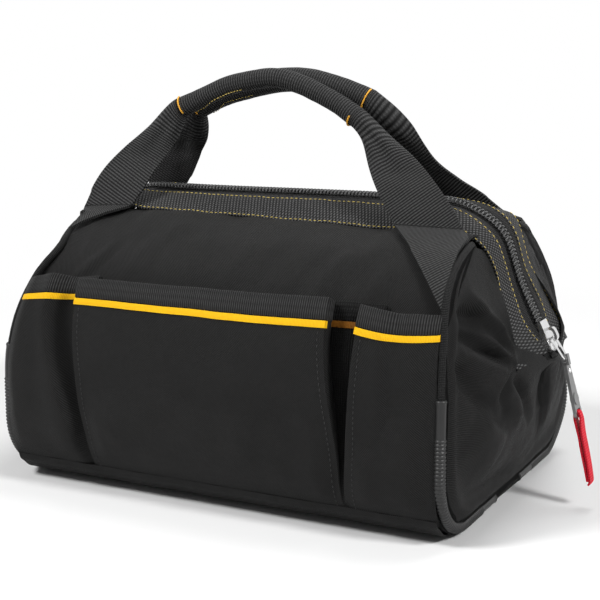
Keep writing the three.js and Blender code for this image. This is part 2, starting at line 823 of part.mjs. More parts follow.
// Link: a closed wire frame through the crown and the eye at the pull's top.
function pullLink(frame) {
  const half_length = link_length / 2;
  const half_width = link_width / 2;
  const centre = link_reach / 2;
  const points = [];
  for (const [sx, sy] of [[-1, -1], [1, -1], [1, 1], [-1, 1]]) {
    const x = centre + sx * (half_length - link_wire / 2);
    const y = sy * (half_width - link_wire / 2);
    const turn = sx * sy > 0;
    const alongX = new THREE.Vector3(x - sx * link_corner, y, 0);
    const alongY = new THREE.Vector3(x, y - sy * link_corner, 0);
    points.push(...(turn ? [alongY, alongX] : [alongX, alongY]));
  }
  const ordered = new THREE.CatmullRomCurve3(points, true, "catmullrom", 0.4);
  const wire = [];
  const count = 20;
  for (let i = 0; i <= count; i += 1) {
    const centrePoint = ordered.getPointAt((i % count) / count);
    const along = ordered.getTangentAt((i % count) / count);
    const side = new THREE.Vector3(-along.y, along.x, 0);
    wire.push([0, 1, 2, 3, 4, 5].map((k) => centrePoint.clone()
      .addScaledVector(side, (link_wire / 2) * Math.cos(k * Math.PI / 3))
      .add(new THREE.Vector3(0, 0, (link_wire / 2) * Math.sin(k * Math.PI / 3)))));
  }
  add("pull_link", closedLoop(wire), bright_metal, frame);
}

// A ring of sections that joins up with itself.
function closedLoop(rings) {
  const count = rings[0].length;
  const loops = rings.slice(0, -1);
  const positions = loops.flat().flatMap((p) => [p.x, p.y, p.z]);
  const faces = [];
  loops.forEach((ring, i) => {
    const next = ((i + 1) % loops.length) * count;
    for (let j = 0; j < count; j += 1) {
      const k = (j + 1) % count;
      faces.push(i * count + j, i * count + k, next + k);
      faces.push(i * count + j, next + k, next + j);
    }
  });
  return facingOut(positions, faces);
}

// Pull: a tapered tab with a tongue round the link, a plain round boss and a slot for the cord.
function zipPull(frame) {
  const top = pull_top_width / 2;
  const bottom = pull_bottom_width / 2;
  const start = link_wire / 2 + seam_gap + top;
  const end = pull_length;
  const outline = new THREE.Shape();
  outline.moveTo(start, -top);
  outline.lineTo(end - pull_corner, -bottom);
  outline.quadraticCurveTo(end, -bottom, end, -bottom + pull_corner);
  outline.lineTo(end, bottom - pull_corner);
  outline.quadraticCurveTo(end, bottom, end - pull_corner, bottom);
  outline.lineTo(start, top);
  outline.absarc(start, 0, top, Math.PI / 2, 1.5 * Math.PI, false);
  const tab = new THREE.ExtrudeGeometry(outline,
    { depth: pull_thickness, curveSegments: 6, bevelEnabled: false });
  tab.translate(0, 0, -pull_thickness / 2);
  const slot = block(slot_x - slot_height / 2, slot_x + slot_height / 2,
    -slot_width / 2, slot_width / 2, -pull_thickness, pull_thickness);
  const boss_thickness = pull_thickness + 2 * boss_height;
  const boss = new THREE.CylinderGeometry(boss_radius, boss_radius, boss_thickness, 18);
  boss.rotateX(Math.PI / 2).translate(end - boss_from_end, 0, 0);
  const eye = link_wire / 2 + seam_gap;
  const half_tongue = eye + tongue_wall;
  const tongue = block(-half_tongue, start, -tongue_width / 2, tongue_width / 2,
    -half_tongue, half_tongue);
  const opening = block(-eye, eye, -tongue_width, tongue_width, -eye, eye);
  const solid = toManifold(tab).add(toManifold(boss)).add(tongue).subtract(opening).subtract(slot);
  add("zip_pull", fromManifold(solid), dark_metal, frame);
}

// Rivet dome on the pull's outer face, just below the eye.
function pullRivet(frame) {
  const dome = new THREE.Path();
  dome.moveTo(0, 0);
  dome.lineTo(rivet_radius, 0);
  dome.absellipse(0, 0, rivet_radius, rivet_radius * 0.6, 0, Math.PI / 2, false);
  const lathe = new THREE.LatheGeometry(dome.getPoints(3), 8);
  lathe.rotateX(Math.PI / 2);
  const height = pull_thickness / 2 + rivet_gap;
  lathe.translate(link_wire + pull_top_width, 0, height);
  add("pull_rivet", lathe, bright_metal, frame);
}

// Cord loop: a ribbon round the bar below the slot, its two plies sewn together beneath it.
function cordLoop(frame) {
  const inner_radius = Math.hypot(bar_height / 2, pull_thickness / 2) + seam_gap;
  const outer_radius = inner_radius + cord_loop_ply;
  const width = slot_width - 2 * seam_gap;
  const end = cord_loop_length - slot_from_end;
  const loop = new THREE.Shape();
  loop.absarc(0, 0, outer_radius, Math.PI / 2, 1.5 * Math.PI, false);
  loop.lineTo(outer_radius * 0.5, -outer_radius);
  loop.lineTo(cord_neck, -cord_loop_ply);
  loop.lineTo(end - cord_loop_ply, -cord_loop_ply);
  loop.quadraticCurveTo(end, -cord_loop_ply, end, 0);
  loop.quadraticCurveTo(end, cord_loop_ply, end - cord_loop_ply, cord_loop_ply);
  loop.lineTo(cord_neck, cord_loop_ply);
  loop.lineTo(outer_radius * 0.5, outer_radius);
  loop.closePath();
  const settings = { depth: width, curveSegments: 6, bevelEnabled: false };
  const plies = toManifold(new THREE.ExtrudeGeometry(loop, settings).translate(0, 0, -width / 2));
  const hole = new THREE.CylinderGeometry(inner_radius, inner_radius, 2 * width, 14);
  const ribbon = fromManifold(plies.subtract(toManifold(hole.rotateX(Math.PI / 2))));
  ribbon.rotateX(Math.PI / 2);
  add("pull_cord", ribbon, red_cord, frame);
}

bottomPanel();
wallPanel(-1, "front_panel");
wallPanel(1, "rear_panel");
for (const side of [-1, 1]) {
  const which = side < 0 ? "left" : "right";
  endPanel(side, `${which}_end_panel`);
  piping(side, `${which}_end_piping`);
  protector(side, false, `front_${which}_protector`);
  protector(side, true, `rear_${which}_protector`);
  zipStop(side, `${which}_zip_stop`);
}
mouthHalf(-1, "front");
mouthHalf(1, "rear");
pockets();
handle(-1, "front");
handle(1, "rear");
const slider_frame = sliderFrame();
slider(slider_frame);
const slider_hang = 90 - THREE.MathUtils.radToDeg(slider_frame.rotation.y);
const link_frame = hangingFrame(slider_frame, crown_reach, crown_rise, slider_hang, link_hang);
pullLink(link_frame);
const pull_frame = hangingFrame(link_frame, link_reach, 0, link_hang, pull_hang);
zipPull(pull_frame);
pullRivet(pull_frame);
const cord_frame = hangingFrame(pull_frame, bar_x, 0, pull_hang, cord_hang);
cordLoop(cord_frame);

export default bag;
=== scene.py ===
import bisect
from math import acos, copysign, cos, exp, hypot, pi, radians, sin, tan

import bmesh
import bpy
from mathutils import Matrix, Vector, noise


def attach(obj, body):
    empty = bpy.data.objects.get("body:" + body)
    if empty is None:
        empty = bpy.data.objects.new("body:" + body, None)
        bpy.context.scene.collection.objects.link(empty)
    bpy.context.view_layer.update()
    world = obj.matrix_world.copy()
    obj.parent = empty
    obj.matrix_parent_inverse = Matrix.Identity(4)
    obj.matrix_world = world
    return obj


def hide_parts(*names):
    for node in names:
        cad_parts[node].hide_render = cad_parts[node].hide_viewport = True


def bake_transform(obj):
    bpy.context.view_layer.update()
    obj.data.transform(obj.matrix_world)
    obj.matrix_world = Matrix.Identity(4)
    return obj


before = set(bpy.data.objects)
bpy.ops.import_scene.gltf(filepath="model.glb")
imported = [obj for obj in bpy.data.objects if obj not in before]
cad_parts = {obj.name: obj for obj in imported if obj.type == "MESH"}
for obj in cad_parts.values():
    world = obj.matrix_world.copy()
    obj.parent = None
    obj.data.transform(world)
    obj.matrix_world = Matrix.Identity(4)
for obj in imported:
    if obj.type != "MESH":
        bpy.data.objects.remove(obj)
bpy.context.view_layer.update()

scene = bpy.context.scene

# Sizes are in millimetres, as in the part's source, and every finished mesh is brought to metres.
# Sides are -1 and 1: the front and the rear one, or the left and the right one.
MM = 0.001
front_and_rear = ((-1, "front"), (1, "rear"))
left_and_right = ((-1, "left"), (1, "right"))

# Body of the bag
body_half_length = 138
top_half_length = 131
body_half_depth = 105
corner_radius = 35
wall_top = 88
narrowing_start = 108
panel_top_y = 38.9
panel_top_z = 160.6
tucked_edge = Vector((31, 159.6))       # the wall's top edge runs on to here, under the band
shoulder_swell = 48
shoulder_reach = 43
shoulder_lift = 7
fabric = 1.2
bag_middle = Vector((0, 0, 80))
below_mouth = Vector((0, 0, 60))
lean_start = 45
corner_lean = 17
corner_sag = 5
rear_corner_lift = 6
rear_edge_drawn = 6
left_top_drawn = 4

# End seams, piping and corner protectors
piping_radius = 2.1
piping_inset = piping_radius + 0.4
panel_reach = body_half_length - piping_inset       # half of a wall between its end seams
piping_bottom = 4.8
piping_top_y = 45
seam_top_z = 157
protector_top = 84
protector_end_y = 24
protector_smooth = 21
protector_inner = 2.4
protector_outer = 3.35
rib_pitch = 2.1
rib_height = 0.5
sleeve_step = 0.3
end_bulge = 7
gusset_depth = 92                       # of the end panels' cloth, from seam to notch

# Mouth
mouth_top = 168.5
mouth_corner_x = 122.2
zip_end_x = 164.7
zip_end_z = 86
mouth_bend_radius = 41
band_inner = 17
band_outer = 38
band_thickness = 1.1
band_fall_top = 8.6
band_fall_bend = -1
band_fall_end = 4
band_wave = 0.5
band_inset = 5
notch_length = 72
tape_inner = 0.6
tape_outer = 20
tape_thickness = 0.7
tape_level = -2.2
tape_raised = -0.4
mouth_bow = 8
mouth_pinch = 12
mouth_crest = 4.2
lip_out = 5.6
lip_half_width = 0.9
stop_half_width = 12.6
stop_reach = 3.2
coil_pitch = 2.3
coil_wire = 0.52
coil_middle = 2.1
coil_half_width = 2.45
coil_half_height = 0.62
coil_inset = 4.0

# Pockets
pocket_bottom = 14
pocket_top = 124
binding_height = 9
pocket_stand = 7.6
pocket_lift = 2.6
pocket_return = 6.0
pocket_end = body_half_length - 1.4
ribbon_drop = 3.6                       # from the binding's lower edge to the ribbon's
tucked = 1.0                            # what the left pocket runs on behind its neighbour

# Handles
handle_fold_y = 42.4
webbing_width = 38
webbing_thickness = 1.5
grip_roll = 0.97 * 2 * pi
grip_radius = 5.8
neck_roll = 4.3
neck_radius = 6.2
anchor_run = 34
strap_run = 76
grip_run = 126
handle_run = 2 * (anchor_run + strap_run) + grip_run
blend_low = 0.164                       # heights in metres, passed with the handles' blend, which finished does not read
blend_high = 0.170
anchor_stand = 2.6
anchor_end_x = 134
anchor_ends = {(-1, -1): (70, 54), (-1, 1): (97, 50), (1, -1): (84, 58), (1, 1): (88, 60)}

# The ribbon on the pull, and the angle at which it hangs
cord_hang = 13
cord_eye = (179.064, 0, 54.123)
cord_width = 6.8
cord_thickness = 1.1


def mix(a, b, t):
    return a + (b - a) * t


def ramp(low, high, value):
    """A smooth rise from 0 at low to 1 at high, or a smooth fall where low is above high."""
    t = min(max((value - low) / (high - low), 0), 1)
    return t * t * (3 - 2 * t)


def hump(value, middle, width):
    """A bell of height 1 round a middle."""
    return exp(-(((value - middle) / width) ** 2))


def waves(x, y, scale, seed, detail=2):
    """Seeded smooth noise from about -1 to 1."""
    return noise.fractal(Vector((x / scale, y / scale, seed)), 0.6, 2.0, detail)


class Line:
    """A curve through many points, read by its share of the length."""

    def __init__(self, points):
        self.points = [Vector(p) for p in points]
        self.marks = [0.0]
        for a, b in zip(self.points, self.points[1:]):
            self.marks.append(self.marks[-1] + (b - a).length)
        self.length = self.marks[-1]

    def at(self, share):
        goal = min(max(share, 0), 1) * self.length
        i = min(max(bisect.bisect_right(self.marks, goal), 1), len(self.points) - 1)
        span = max(self.marks[i] - self.marks[i - 1], 1e-9)
        return self.points[i - 1].lerp(self.points[i], (goal - self.marks[i - 1]) / span)

    def along(self, share, step=0.004):
        return (self.at(share + step) - self.at(share - step)).normalized()


def rounded(points, steps=12):
    """A smooth line through given points."""
    ends = [points[0] * 2 - points[1]] + points + [points[-1] * 2 - points[-2]]
    made = []
    for a, b, c, d in zip(ends, ends[1:], ends[2:], ends[3:]):
        for i in range(steps):
            t = i / steps
            made.append(0.5 * (2 * b + (c - a) * t + (2 * a - 5 * b + 4 * c - d) * t * t
                               + (3 * b - a - 3 * c + d) * t ** 3))
    return Line(made + [points[-1]])


def arc(x, y, radius, start, end, count=24):
    angles = [mix(start, end, i / count) for i in range(count + 1)]
    return [Vector((x + radius * cos(a), y + radius * sin(a))) for a in angles]


def bezier(a, b, c, d, count=60):
    made = []
    for i in range(count + 1):
        t = i / count
        made.append(a * (1 - t) ** 3 + 3 * b * t * (1 - t) ** 2
                    + 3 * c * t * t * (1 - t) + d * t ** 3)
    return made


def wall_profile(depth, bottom, top_depth, top_z):
    """The wall from the middle of the bottom edge to its top, as depth and height."""
    corner = arc(depth - corner_radius, bottom + corner_radius, corner_radius, -pi / 2, 0)
    shoulder = bezier(Vector((depth, wall_top)), Vector((depth, wall_top + shoulder_swell)),
                      Vector((top_depth + shoulder_reach, top_z - shoulder_lift)),
                      Vector((top_depth, top_z)))
    return Line(corner + shoulder)


wall = Line(wall_profile(body_half_depth, 0, panel_top_y, panel_top_z).points + [tucked_edge])


def share_where(line, passed, low=0.0, high=1.0):
    """The share of a line at which a test turns true."""
    for _ in range(30):
        middle = (low + high) / 2
        if passed(line.at(middle)):
            high = middle
        else:
            low = middle
    return low


def share_at_height(height):
    return share_where(wall, lambda p: p.y > height)


def share_at_depth(depth):
    return share_where(wall, lambda p: p.x < depth, share_at_height(wall_top))


def half_length(z):
    lean = max(0, (z - narrowing_start) / (panel_top_z - narrowing_start))
    return mix(body_half_length, top_half_length, lean ** 1.5)


def settled(p):
    """Where a point of the slack body rests: its top corners but one lean in and sag a little.

    The rear right edge is drawn in and its lower corner lifted, and the left edges are drawn in
    near their top.
    """
    outwards = max(0, abs(p.x) - lean_start) / (body_half_length - lean_start)
    slack = ramp(-40, 40, p.y) if p.x > 0 else 1.0
    lean = corner_lean * ramp(60, 142, p.z) ** 1.3 * mix(1, 0.6, ramp(142, 160, p.z))
    sag = corner_sag * ramp(wall_top, 160, p.z) * outwards ** 2
    corner = exp(-((p.y - 92) / 28) ** 2 - ((p.z - 10) / 30) ** 2) * ramp(112, 138, p.x)
    lift = rear_corner_lift * corner
    if p.x > 0:
        drawn = rear_edge_drawn * hump(p.z, 78, 36) * ramp(10, 85, p.y) * ramp(70, 138, p.x)
    else:
        drawn = left_top_drawn * hump(p.z, 146, 11) * outwards
    x = p.x - copysign(lean * slack * outwards ** 1.2 + drawn, p.x)
    return Vector((x, p.y - lift * 0.7, p.z - sag * slack + lift))


def unsettled(x, side, share):
    """The place along the unsettled wall that comes to rest at a wanted one."""
    wanted = x
    p = wall.at(share)
    for _ in range(4):
        x += wanted - settled(Vector((x, side * p.x, p.y))).x
    return x


def on_wall(side, x, share, stand_off=0.0):
    """A point of the front wall (side -1) or the rear one, standing off it."""
    p = wall.at(share)
    t = wall.along(share)
    rest = settled(Vector((x, side * p.x, p.y)))
    return rest + Vector((0, side * t.y * stand_off, -t.x * stand_off))


def zip_profile():
    """The zip's middle line as X and Z: up the left end, across and down the right end."""
    corner = Vector((mouth_corner_x, mouth_top))
    end = Vector((zip_end_x, zip_end_z))
    down = (end - corner).normalized()
    turn = acos(down.x)
    tangent = mouth_bend_radius * tan(turn / 2)
    bend = arc(corner.x - tangent, mouth_top - mouth_bend_radius, mouth_bend_radius,
               pi / 2, pi / 2 - turn)
    right = [Vector((0, mouth_top))] + bend + [end]
    left = [Vector((-p.x, p.y)) for p in reversed(right)]
    return Line(left[:-1] + right)


zip_line = zip_profile()


def edge_fall(side, x):
    """How far the band's outer edge lies below the zip."""
    to_bend = ramp(mouth_corner_x - (mouth_bend_radius if side < 0 else 22), mouth_corner_x + 4, x)
    to_end = ramp(mouth_corner_x + 6, zip_end_x - 10, x)
    return mix(mix(band_fall_top, band_fall_bend, to_bend), band_fall_end, to_end)


def bowed(side, x, out):
    """How far out a line of the mouth runs: down the ends it draws in, bows out, and closes in."""
    k = (x - mouth_corner_x) / (zip_end_x - mouth_corner_x)
    bow = (mouth_bow if side < 0 else 1) * ramp(0.5, 0.82, k) - mouth_pinch * hump(k, 0.36, 0.24)
    close = (mouth_bow + 9) * ramp(zip_end_x - 15, zip_end_x - 1, x) * ramp(34, 14, out)
    return out + bow * (max(out, 0) / band_outer) ** 1.3 - close * ramp(3, 15, out)


def on_mouth(side, share, out, raised=0.0):
    """A point of the mouth: along the zip, out from its middle and raised off the band's face."""
    p = zip_line.at(share)
    t = zip_line.along(share)
    x = abs(p.x)
    spread = max(out, 0) / band_outer
    fall = edge_fall(side, x) * spread ** 2
    sink = 1.6 * ramp(mouth_corner_x + 12, mouth_corner_x - 10, x) * ramp(band_inner, 6, out)
    crest = mouth_crest * ramp(-110, 90, p.x) * ramp(123, 158, p.y) * (1 - spread ** 2)
    height = raised - fall - sink + crest
    return Vector((p.x - t.y * height, side * bowed(side, x, out), p.y + t.x * height))


def end_seam(side):
    """The line of an end seam, from the front top round the bottom to the rear top."""
    half = wall_profile(body_half_depth + 0.4, piping_bottom, piping_top_y, seam_top_z)
    front = [half.at(1 - i / 120) for i in range(121)]
    line = [Vector((side * half_length(p.y), -p.x, p.y)) for p in front]
    line += [Vector((p.x, -p.y, p.z)) for p in reversed(line)]
    return Line([settled(p) for p in line])


seams = {side: end_seam(side) for side in (-1, 1)}


def near_line(x, z, start, end, width):
    """How near a point is to a short fold line: 1 on its middle, and 0 far off."""
    ax, az = start
    bx, bz = end
    length = (bx - ax) ** 2 + (bz - az) ** 2
    t = min(max(((x - ax) * (bx - ax) + (z - az) * (bz - az)) / length, 0), 1)
    away = hypot(x - mix(ax, bx, t), z - mix(az, bz, t))
    return exp(-((away / width) ** 2)) * mix(1.0, 0.55, abs(2 * t - 1) ** 3)


def folds_at(x, z, folds):
    """The height of a list of folds at a point."""
    return sum(near_line(x, z, start, end, width) * height for start, end, width, height in folds)


# Mesh making


def linked(name, bm, material):
    """A mesh with one material, as an object of the scene."""
    mesh = bpy.data.meshes.new(name)
    bm.to_mesh(mesh)
    bm.free()
    made = bpy.data.objects.new(name, mesh)
    scene.collection.objects.link(made)
    mesh.materials.append(material)
    return made


def finished(name, bm, material, nodes=(), smooth_angle=40, body="root", blend=None):
    """Ends a mesh: metres, sharp edges by angle, one material, and the body that it rides on, or
    with blend its transform baked in and no body.
    """
    bmesh.ops.scale(bm, vec=(MM, MM, MM), verts=bm.verts)
    bm.normal_update()
    for edge in bm.edges:
        soft = edge.calc_face_angle(0) < radians(smooth_angle)
        edge.smooth = soft and len(edge.link_faces) == 2
    for face in bm.faces:
        face.smooth = True
    piece = linked(name, bm, material)
    if blend:
        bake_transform(piece)
    else:
        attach(piece, body)
    if nodes:
        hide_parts(*nodes)
    return piece


def grid(count_u, count_v, place, length_u, length_v, mark=None):
    """A grid laid over place(u, v), with a UV map in metres of its lengths, or of mark(u, v)."""
    bm = bmesh.new()
    bmesh.ops.create_grid(bm, x_segments=count_u, y_segments=count_v, size=0.5)
    weave = bm.loops.layers.uv.new("weave")
    for face in bm.faces:
        for loop in face.loops:
            u, v = loop.vert.co.x + 0.5, loop.vert.co.y + 0.5
            along, across = mark(u, v) if mark else (u * length_u, v * length_v)
            loop[weave].uv = (along * MM, across * MM)
    for vert in bm.verts:
        vert.co = place(vert.co.x + 0.5, vert.co.y + 0.5)
    return bm


def face_away(bm, middle):
    """Turns a sheet so that its faces look away from a point inside the bag."""
    bm.normal_update()
    outward = sum((f.calc_center_median() - middle).dot(f.normal) * f.calc_area() for f in bm.faces)
    if outward < 0:
        bmesh.ops.reverse_faces(bm, faces=bm.faces)
    bm.normal_update()


def thickened(bm, thickness, middle=bag_middle):
    """Gives a sheet its thickness, inwards from its outer face."""
    face_away(bm, middle)
    inward = {v.co.copy().freeze(): -v.normal for v in bm.verts}
    back = bmesh.ops.extrude_face_region(bm, geom=bm.faces[:], use_keep_orig=True)["geom"]
    for vert in back:
        if isinstance(vert, bmesh.types.BMVert):
            vert.co += inward[vert.co.copy().freeze()] * thickness
    bmesh.ops.recalc_face_normals(bm, faces=bm.faces)
    return bm


def closed_tube(count_u, count_v, place, length_u, length_v):
    """A grid rolled up in v, with its open ends filled."""
    bm = grid(count_u, count_v, place, length_u, length_v)
    bmesh.ops.remove_doubles(bm, verts=bm.verts, dist=1e-4)
    bmesh.ops.holes_fill(bm, edges=[e for e in bm.edges if e.is_boundary], sides=0)
    bmesh.ops.recalc_face_normals(bm, faces=bm.faces)
    return bm


def raised_along(surface, height, step=0.003):
    """A surface moved along its own normal by height(u, v)."""
    def place(u, v):
        p = surface(u, v)
        along_u = surface(min(u + step, 1), v) - surface(max(u - step, 0), v)
        along_v = surface(u, min(v + step, 1)) - surface(u, max(v - step, 0))
        return p + along_u.cross(along_v).normalized() * height(u, v)
    return place


# Finishes


class Field:
    """A number that changes over a surface, written with Python's operators."""

    def __init__(self, finish, socket):
        self.finish = finish
        self.socket = socket

    def __add__(self, other):
        return self.finish.maths("ADD", self, other)

    def __sub__(self, other):
        return self.finish.maths("SUBTRACT", self, other)

    def __rsub__(self, other):
        return self.finish.maths("SUBTRACT", other, self)

    def __mul__(self, other):
        return self.finish.maths("MULTIPLY", self, other)

    __radd__ = __add__
    __rmul__ = __mul__


class Nodes:
    """A node tree, and the ways in which this file fills it."""

    def __init__(self, tree):
        self.tree = tree

    def plug(self, socket, value):
        if isinstance(value, Field):
            value = value.socket
        if isinstance(value, bpy.types.NodeSocket):
            self.tree.links.new(value, socket)
        else:
            socket.default_value = value

    def node(self, kind, settings, sockets):
        """A node: its kind, its settings and what its sockets hold."""
        made = self.tree.nodes.new("ShaderNode" + kind)
        for key, value in settings.items():
            setattr(made, key, value)
        for key, value in sockets.items():
            self.plug(made.inputs[key], value)
        return made

    def maths(self, operation, a, b=0.0, c=0.0):
        made = self.node("Math", {"operation": operation}, {0: a, 1: b, 2: c})
        return Field(self, made.outputs[0])

    def seen(self):
        """1 for what the camera and reflections see, and 0 for the light that falls on the bag."""
        path = self.node("LightPath", {}, {})
        return self.maths("MAXIMUM", path.outputs["Is Camera Ray"], path.outputs["Is Glossy Ray"])


class Finish(Nodes):
    """One material and the nodes of its pattern."""

    def __init__(self, name, roughness, **fixed):
        self.material = bpy.data.materials.new(name)
        self.material.use_nodes = True
        super().__init__(self.material.node_tree)
        self.shader = self.tree.nodes["Principled BSDF"]
        self.roughness(roughness)
        for socket, value in fixed.items():
            self.shader.inputs[socket.replace("_", " ")].default_value = value

    def place(self):
        """The place on the object."""
        return self.node("TexCoord", {}, {}).outputs["Object"]

    def parts(self, vector):
        made = self.node("SeparateXYZ", {}, {0: vector})
        return [Field(self, part) for part in made.outputs]

    def weave(self):
        """The piece's own cloth in millimetres: along it and across it."""
        along, across, _ = self.parts(self.node("UVMap", {"uv_map": "weave"}, {}).outputs[0])
        return along * 1000, across * 1000

    def ridges(self, across, pitch):
        """A wave from 0 to 1 that repeats at a pitch."""
        return self.maths("SINE", across * (2 * pi / pitch)) * 0.5 + 0.5

    def cloudy(self, size, detail=2.0, seed=0.0):
        """Soft noise from 0 to 1, with patches of about a size in millimetres."""
        sockets = {"Vector": self.place(), "W": seed, "Scale": 1000 / size, "Detail": detail}
        return Field(self, self.node("TexNoise", {"noise_dimensions": "4D"}, sockets).outputs[0])

    def band(self, value, low, high):
        """0 below low, 1 above high and a smooth rise between."""
        made = self.node("MapRange", {"interpolation_type": "SMOOTHSTEP"},
                         {0: value, 1: low, 2: high, 3: 0.0, 4: 1.0})
        return Field(self, made.outputs[0])

    def between(self, dark, light, share):
        """A colour from dark to light."""
        made = self.node("Mix", {"data_type": "RGBA"}, {0: share, 6: dark, 7: light})
        return made.outputs[2]

    def colour(self, value):
        self.plug(self.shader.inputs["Base Color"], value)

    def roughness(self, value):
        self.plug(self.shader.inputs["Roughness"], value)

    def relief(self, height, depth):
        """Fine relief from a field, with its depth in millimetres."""
        bump = self.node("Bump", {}, {"Distance": depth * MM, "Height": height})
        self.plug(self.shader.inputs["Normal"], bump.outputs[0])


def grey(level, warmth=0.0):
    return (level * (1 + warmth), level, level * (1 - warmth), 1)


# The soft sheen of woven cloth
cloth_sheen = {"Sheen_Weight": 0.02, "Sheen_Roughness": 0.4}


def twill_finish():
    """Woven black polyester: fine diagonal lines, slightly uneven, with a dusty bloom."""
    finish = Finish("bag_fabric", 0.62, Specular_IOR_Level=0.07, **cloth_sheen)
    along, across = finish.weave()
    uneven = finish.cloudy(3.0, 2.0, 1.0)
    lines = finish.ridges(along + across * 0.9 + uneven * 0.35, 1.15)
    threads = finish.ridges(along - across * 0.2, 0.56)
    height = lines * 0.75 + threads * 0.2 + uneven * 0.3
    bloom = finish.cloudy(46.0, 3.0, 2.0)
    share = lines * 0.62 + threads * 0.1 + bloom * 0.3 + uneven * 0.15 - 0.1
    finish.colour(finish.between(grey(0.0015), grey(0.027, 0.008), share))
    finish.roughness(0.68 - lines * 0.14)
    finish.relief(height, 0.3)
    return finish.material


def webbing_finish(name, rib, column, dark, light, broken=0.5, basket=False):
    """Webbing: ribs across it, broken into columns along it, or the staggered dots of a basket."""
    finish = Finish(name, 0.62, Specular_IOR_Level=0.1, **cloth_sheen)
    along, across = finish.weave()
    uneven = finish.cloudy(2.2, 2.0, 3.0)
    if basket:
        along, across = along + across * 0.5, along - across * 0.5
    ribs = finish.ridges(along + uneven * 0.25, rib)
    columns = finish.ridges(across, column)
    height = ribs * (columns * broken + (1 - broken)) + uneven * 0.15
    bloom = finish.cloudy(30.0, 2.0, 4.0)
    share = height * 0.9 + bloom * 0.15 - 0.08
    finish.colour(finish.between(grey(dark), grey(light), share))
    finish.roughness(0.7 - height * 0.2)
    finish.relief(height, 0.5)
    return finish.material


def ribbon_finish(name, dark, light, rib):
    """Woven ribbon with fine ribs across it and soft wear."""
    finish = Finish(name, 0.6, Specular_IOR_Level=0.15)
    along, across = finish.weave()
    uneven = finish.cloudy(2.5, 2.0, 5.0)
    ribs = finish.ridges(along + uneven * 0.2, rib)
    worn = finish.cloudy(12.0, 3.0, 6.0)
    finish.colour(finish.between(dark, light, ribs * 0.55 + worn * 0.3 + uneven * 0.25))
    finish.roughness(0.62 - ribs * 0.15)
    finish.relief(ribs + uneven * 0.3 + finish.ridges(across, 0.9) * 0.15, 0.18)
    return finish.material


def thread_finish(name, dark, light):
    """Twisted sewing thread."""
    finish = Finish(name, 0.55)
    x, _, z = finish.parts(finish.place())
    twist = finish.ridges((x + z) * 1000, 0.5)
    finish.colour(finish.between(dark, light, twist * 0.6 + finish.cloudy(3.0, 2.0, 7.0) * 0.5))
    finish.relief(twist, 0.06)
    return finish.material


def plastic_finish(name, level, roughness):
    """Moulded plastic with a fine grain and scuffs."""
    finish = Finish(name, roughness, Specular_IOR_Level=0.3, Coat_Weight=0.02, Coat_Roughness=0.35)
    grain = finish.cloudy(0.7, 2.0, 8.0)
    scuffs = finish.cloudy(9.0, 4.0, 9.0)
    finish.colour(finish.between(grey(level * 0.75), grey(level * 1.3), scuffs))
    finish.roughness(roughness - 0.08 + scuffs * 0.16)
    finish.relief(grain + scuffs * 0.4, 0.05)
    return finish.material


def metal_finish(name, level, roughness):
    """Plated die-cast metal, with small dents and a slightly uneven polish."""
    finish = Finish(name, roughness, Metallic=1.0)
    dents = finish.cloudy(5.0, 3.0, 10.0)
    grain = finish.cloudy(0.6, 2.0, 11.0)
    finish.colour(finish.between(grey(level * 0.82), grey(level * 1.08), dents))
    finish.roughness(roughness - 0.05 + dents * 0.14)
    finish.relief(dents + grain * 0.12, 0.06)
    return finish.material


twill = twill_finish()
webbing = webbing_finish("webbing", 1.65, 2.6, 0.001, 0.06, 0.3)
band_webbing = webbing_finish("band_webbing", 2.1, 2.1, 0.0, 0.12, 1.0, True)
grosgrain = webbing_finish("grosgrain", 1.3, 2.6, 0.002, 0.05, 0.35)
piping_cloth = webbing_finish("piping_cloth", 0.9, 0.9, 0.002, 0.03)
tape_cloth = webbing_finish("tape_cloth", 0.9, 1.2, 0.003, 0.022)
coil_plastic = plastic_finish("coil_plastic", 0.06, 0.26)
corner_plastic = plastic_finish("corner_plastic", 0.018, 0.38)
board_plastic = plastic_finish("board_plastic", 0.04, 0.6)
yellow_ribbon = ribbon_finish("yellow_ribbon", (0.74, 0.36, 0.006, 1), (1.0, 0.6, 0.012, 1), 0.8)
red_ribbon = ribbon_finish("red_ribbon", (0.4, 0.004, 0.014, 1), (0.8, 0.016, 0.04, 1), 1.5)
# The pleat's cloth: a far darker copy of the binding's webbing, with the shade of the deep fold
# between the pockets painted into its colour.
pleat_painted_shade_cloth = webbing_finish("pleat_painted_shade_cloth", 1.3, 1.3, 0.001, 0.007)
# The pleat's ribbon: a dim brown copy of the yellow ribbon, with the fold's shade painted into its
# colour.
pleat_painted_shade_ribbon = ribbon_finish("pleat_painted_shade_ribbon", (0.14, 0.05, 0.004, 1), (0.24, 0.09, 0.008, 1), 0.8)
yellow_thread = thread_finish("yellow_thread", (0.42, 0.3, 0.05, 1), (0.78, 0.6, 0.16, 1))
tack_thread = thread_finish("tack_thread", (0.62, 0.26, 0.01, 1), (0.95, 0.5, 0.04, 1))
black_thread = thread_finish("black_thread", grey(0.002), grey(0.01))
bright_metal = metal_finish("bright_metal", 0.74, 0.2)
dark_metal = metal_finish("dark_metal", 0.24, 0.3)


# The shell: walls, base and end panels

# Folds that hang from a band over the shoulder: where each starts and ends, across the bag and up
# the wall, its width and its height. The rear wall has them the other way round.
shoulder_folds = [
    ((60, 180), (44, 138), 5.0, -1.5),
    ((73, 180), (56, 136), 5.0, 1.8),
    ((87, 178), (72, 138), 4.5, -1.5),
    ((99, 172), (90, 140), 4.0, 1.6),
    ((106, 166), (104, 138), 2.6, -1.8),
    ((30, 180), (20, 144), 6.0, -0.9),
    ((8, 180), (4, 148), 7.0, 0.9),
    ((-48, 180), (-46, 148), 5.0, -1.1),
    ((-62, 180), (-66, 146), 6.0, 1.1),
    ((-92, 172), (-110, 142), 5.0, 1.3),
    ((-84, 176), (-96, 146), 4.0, -1.0),
]


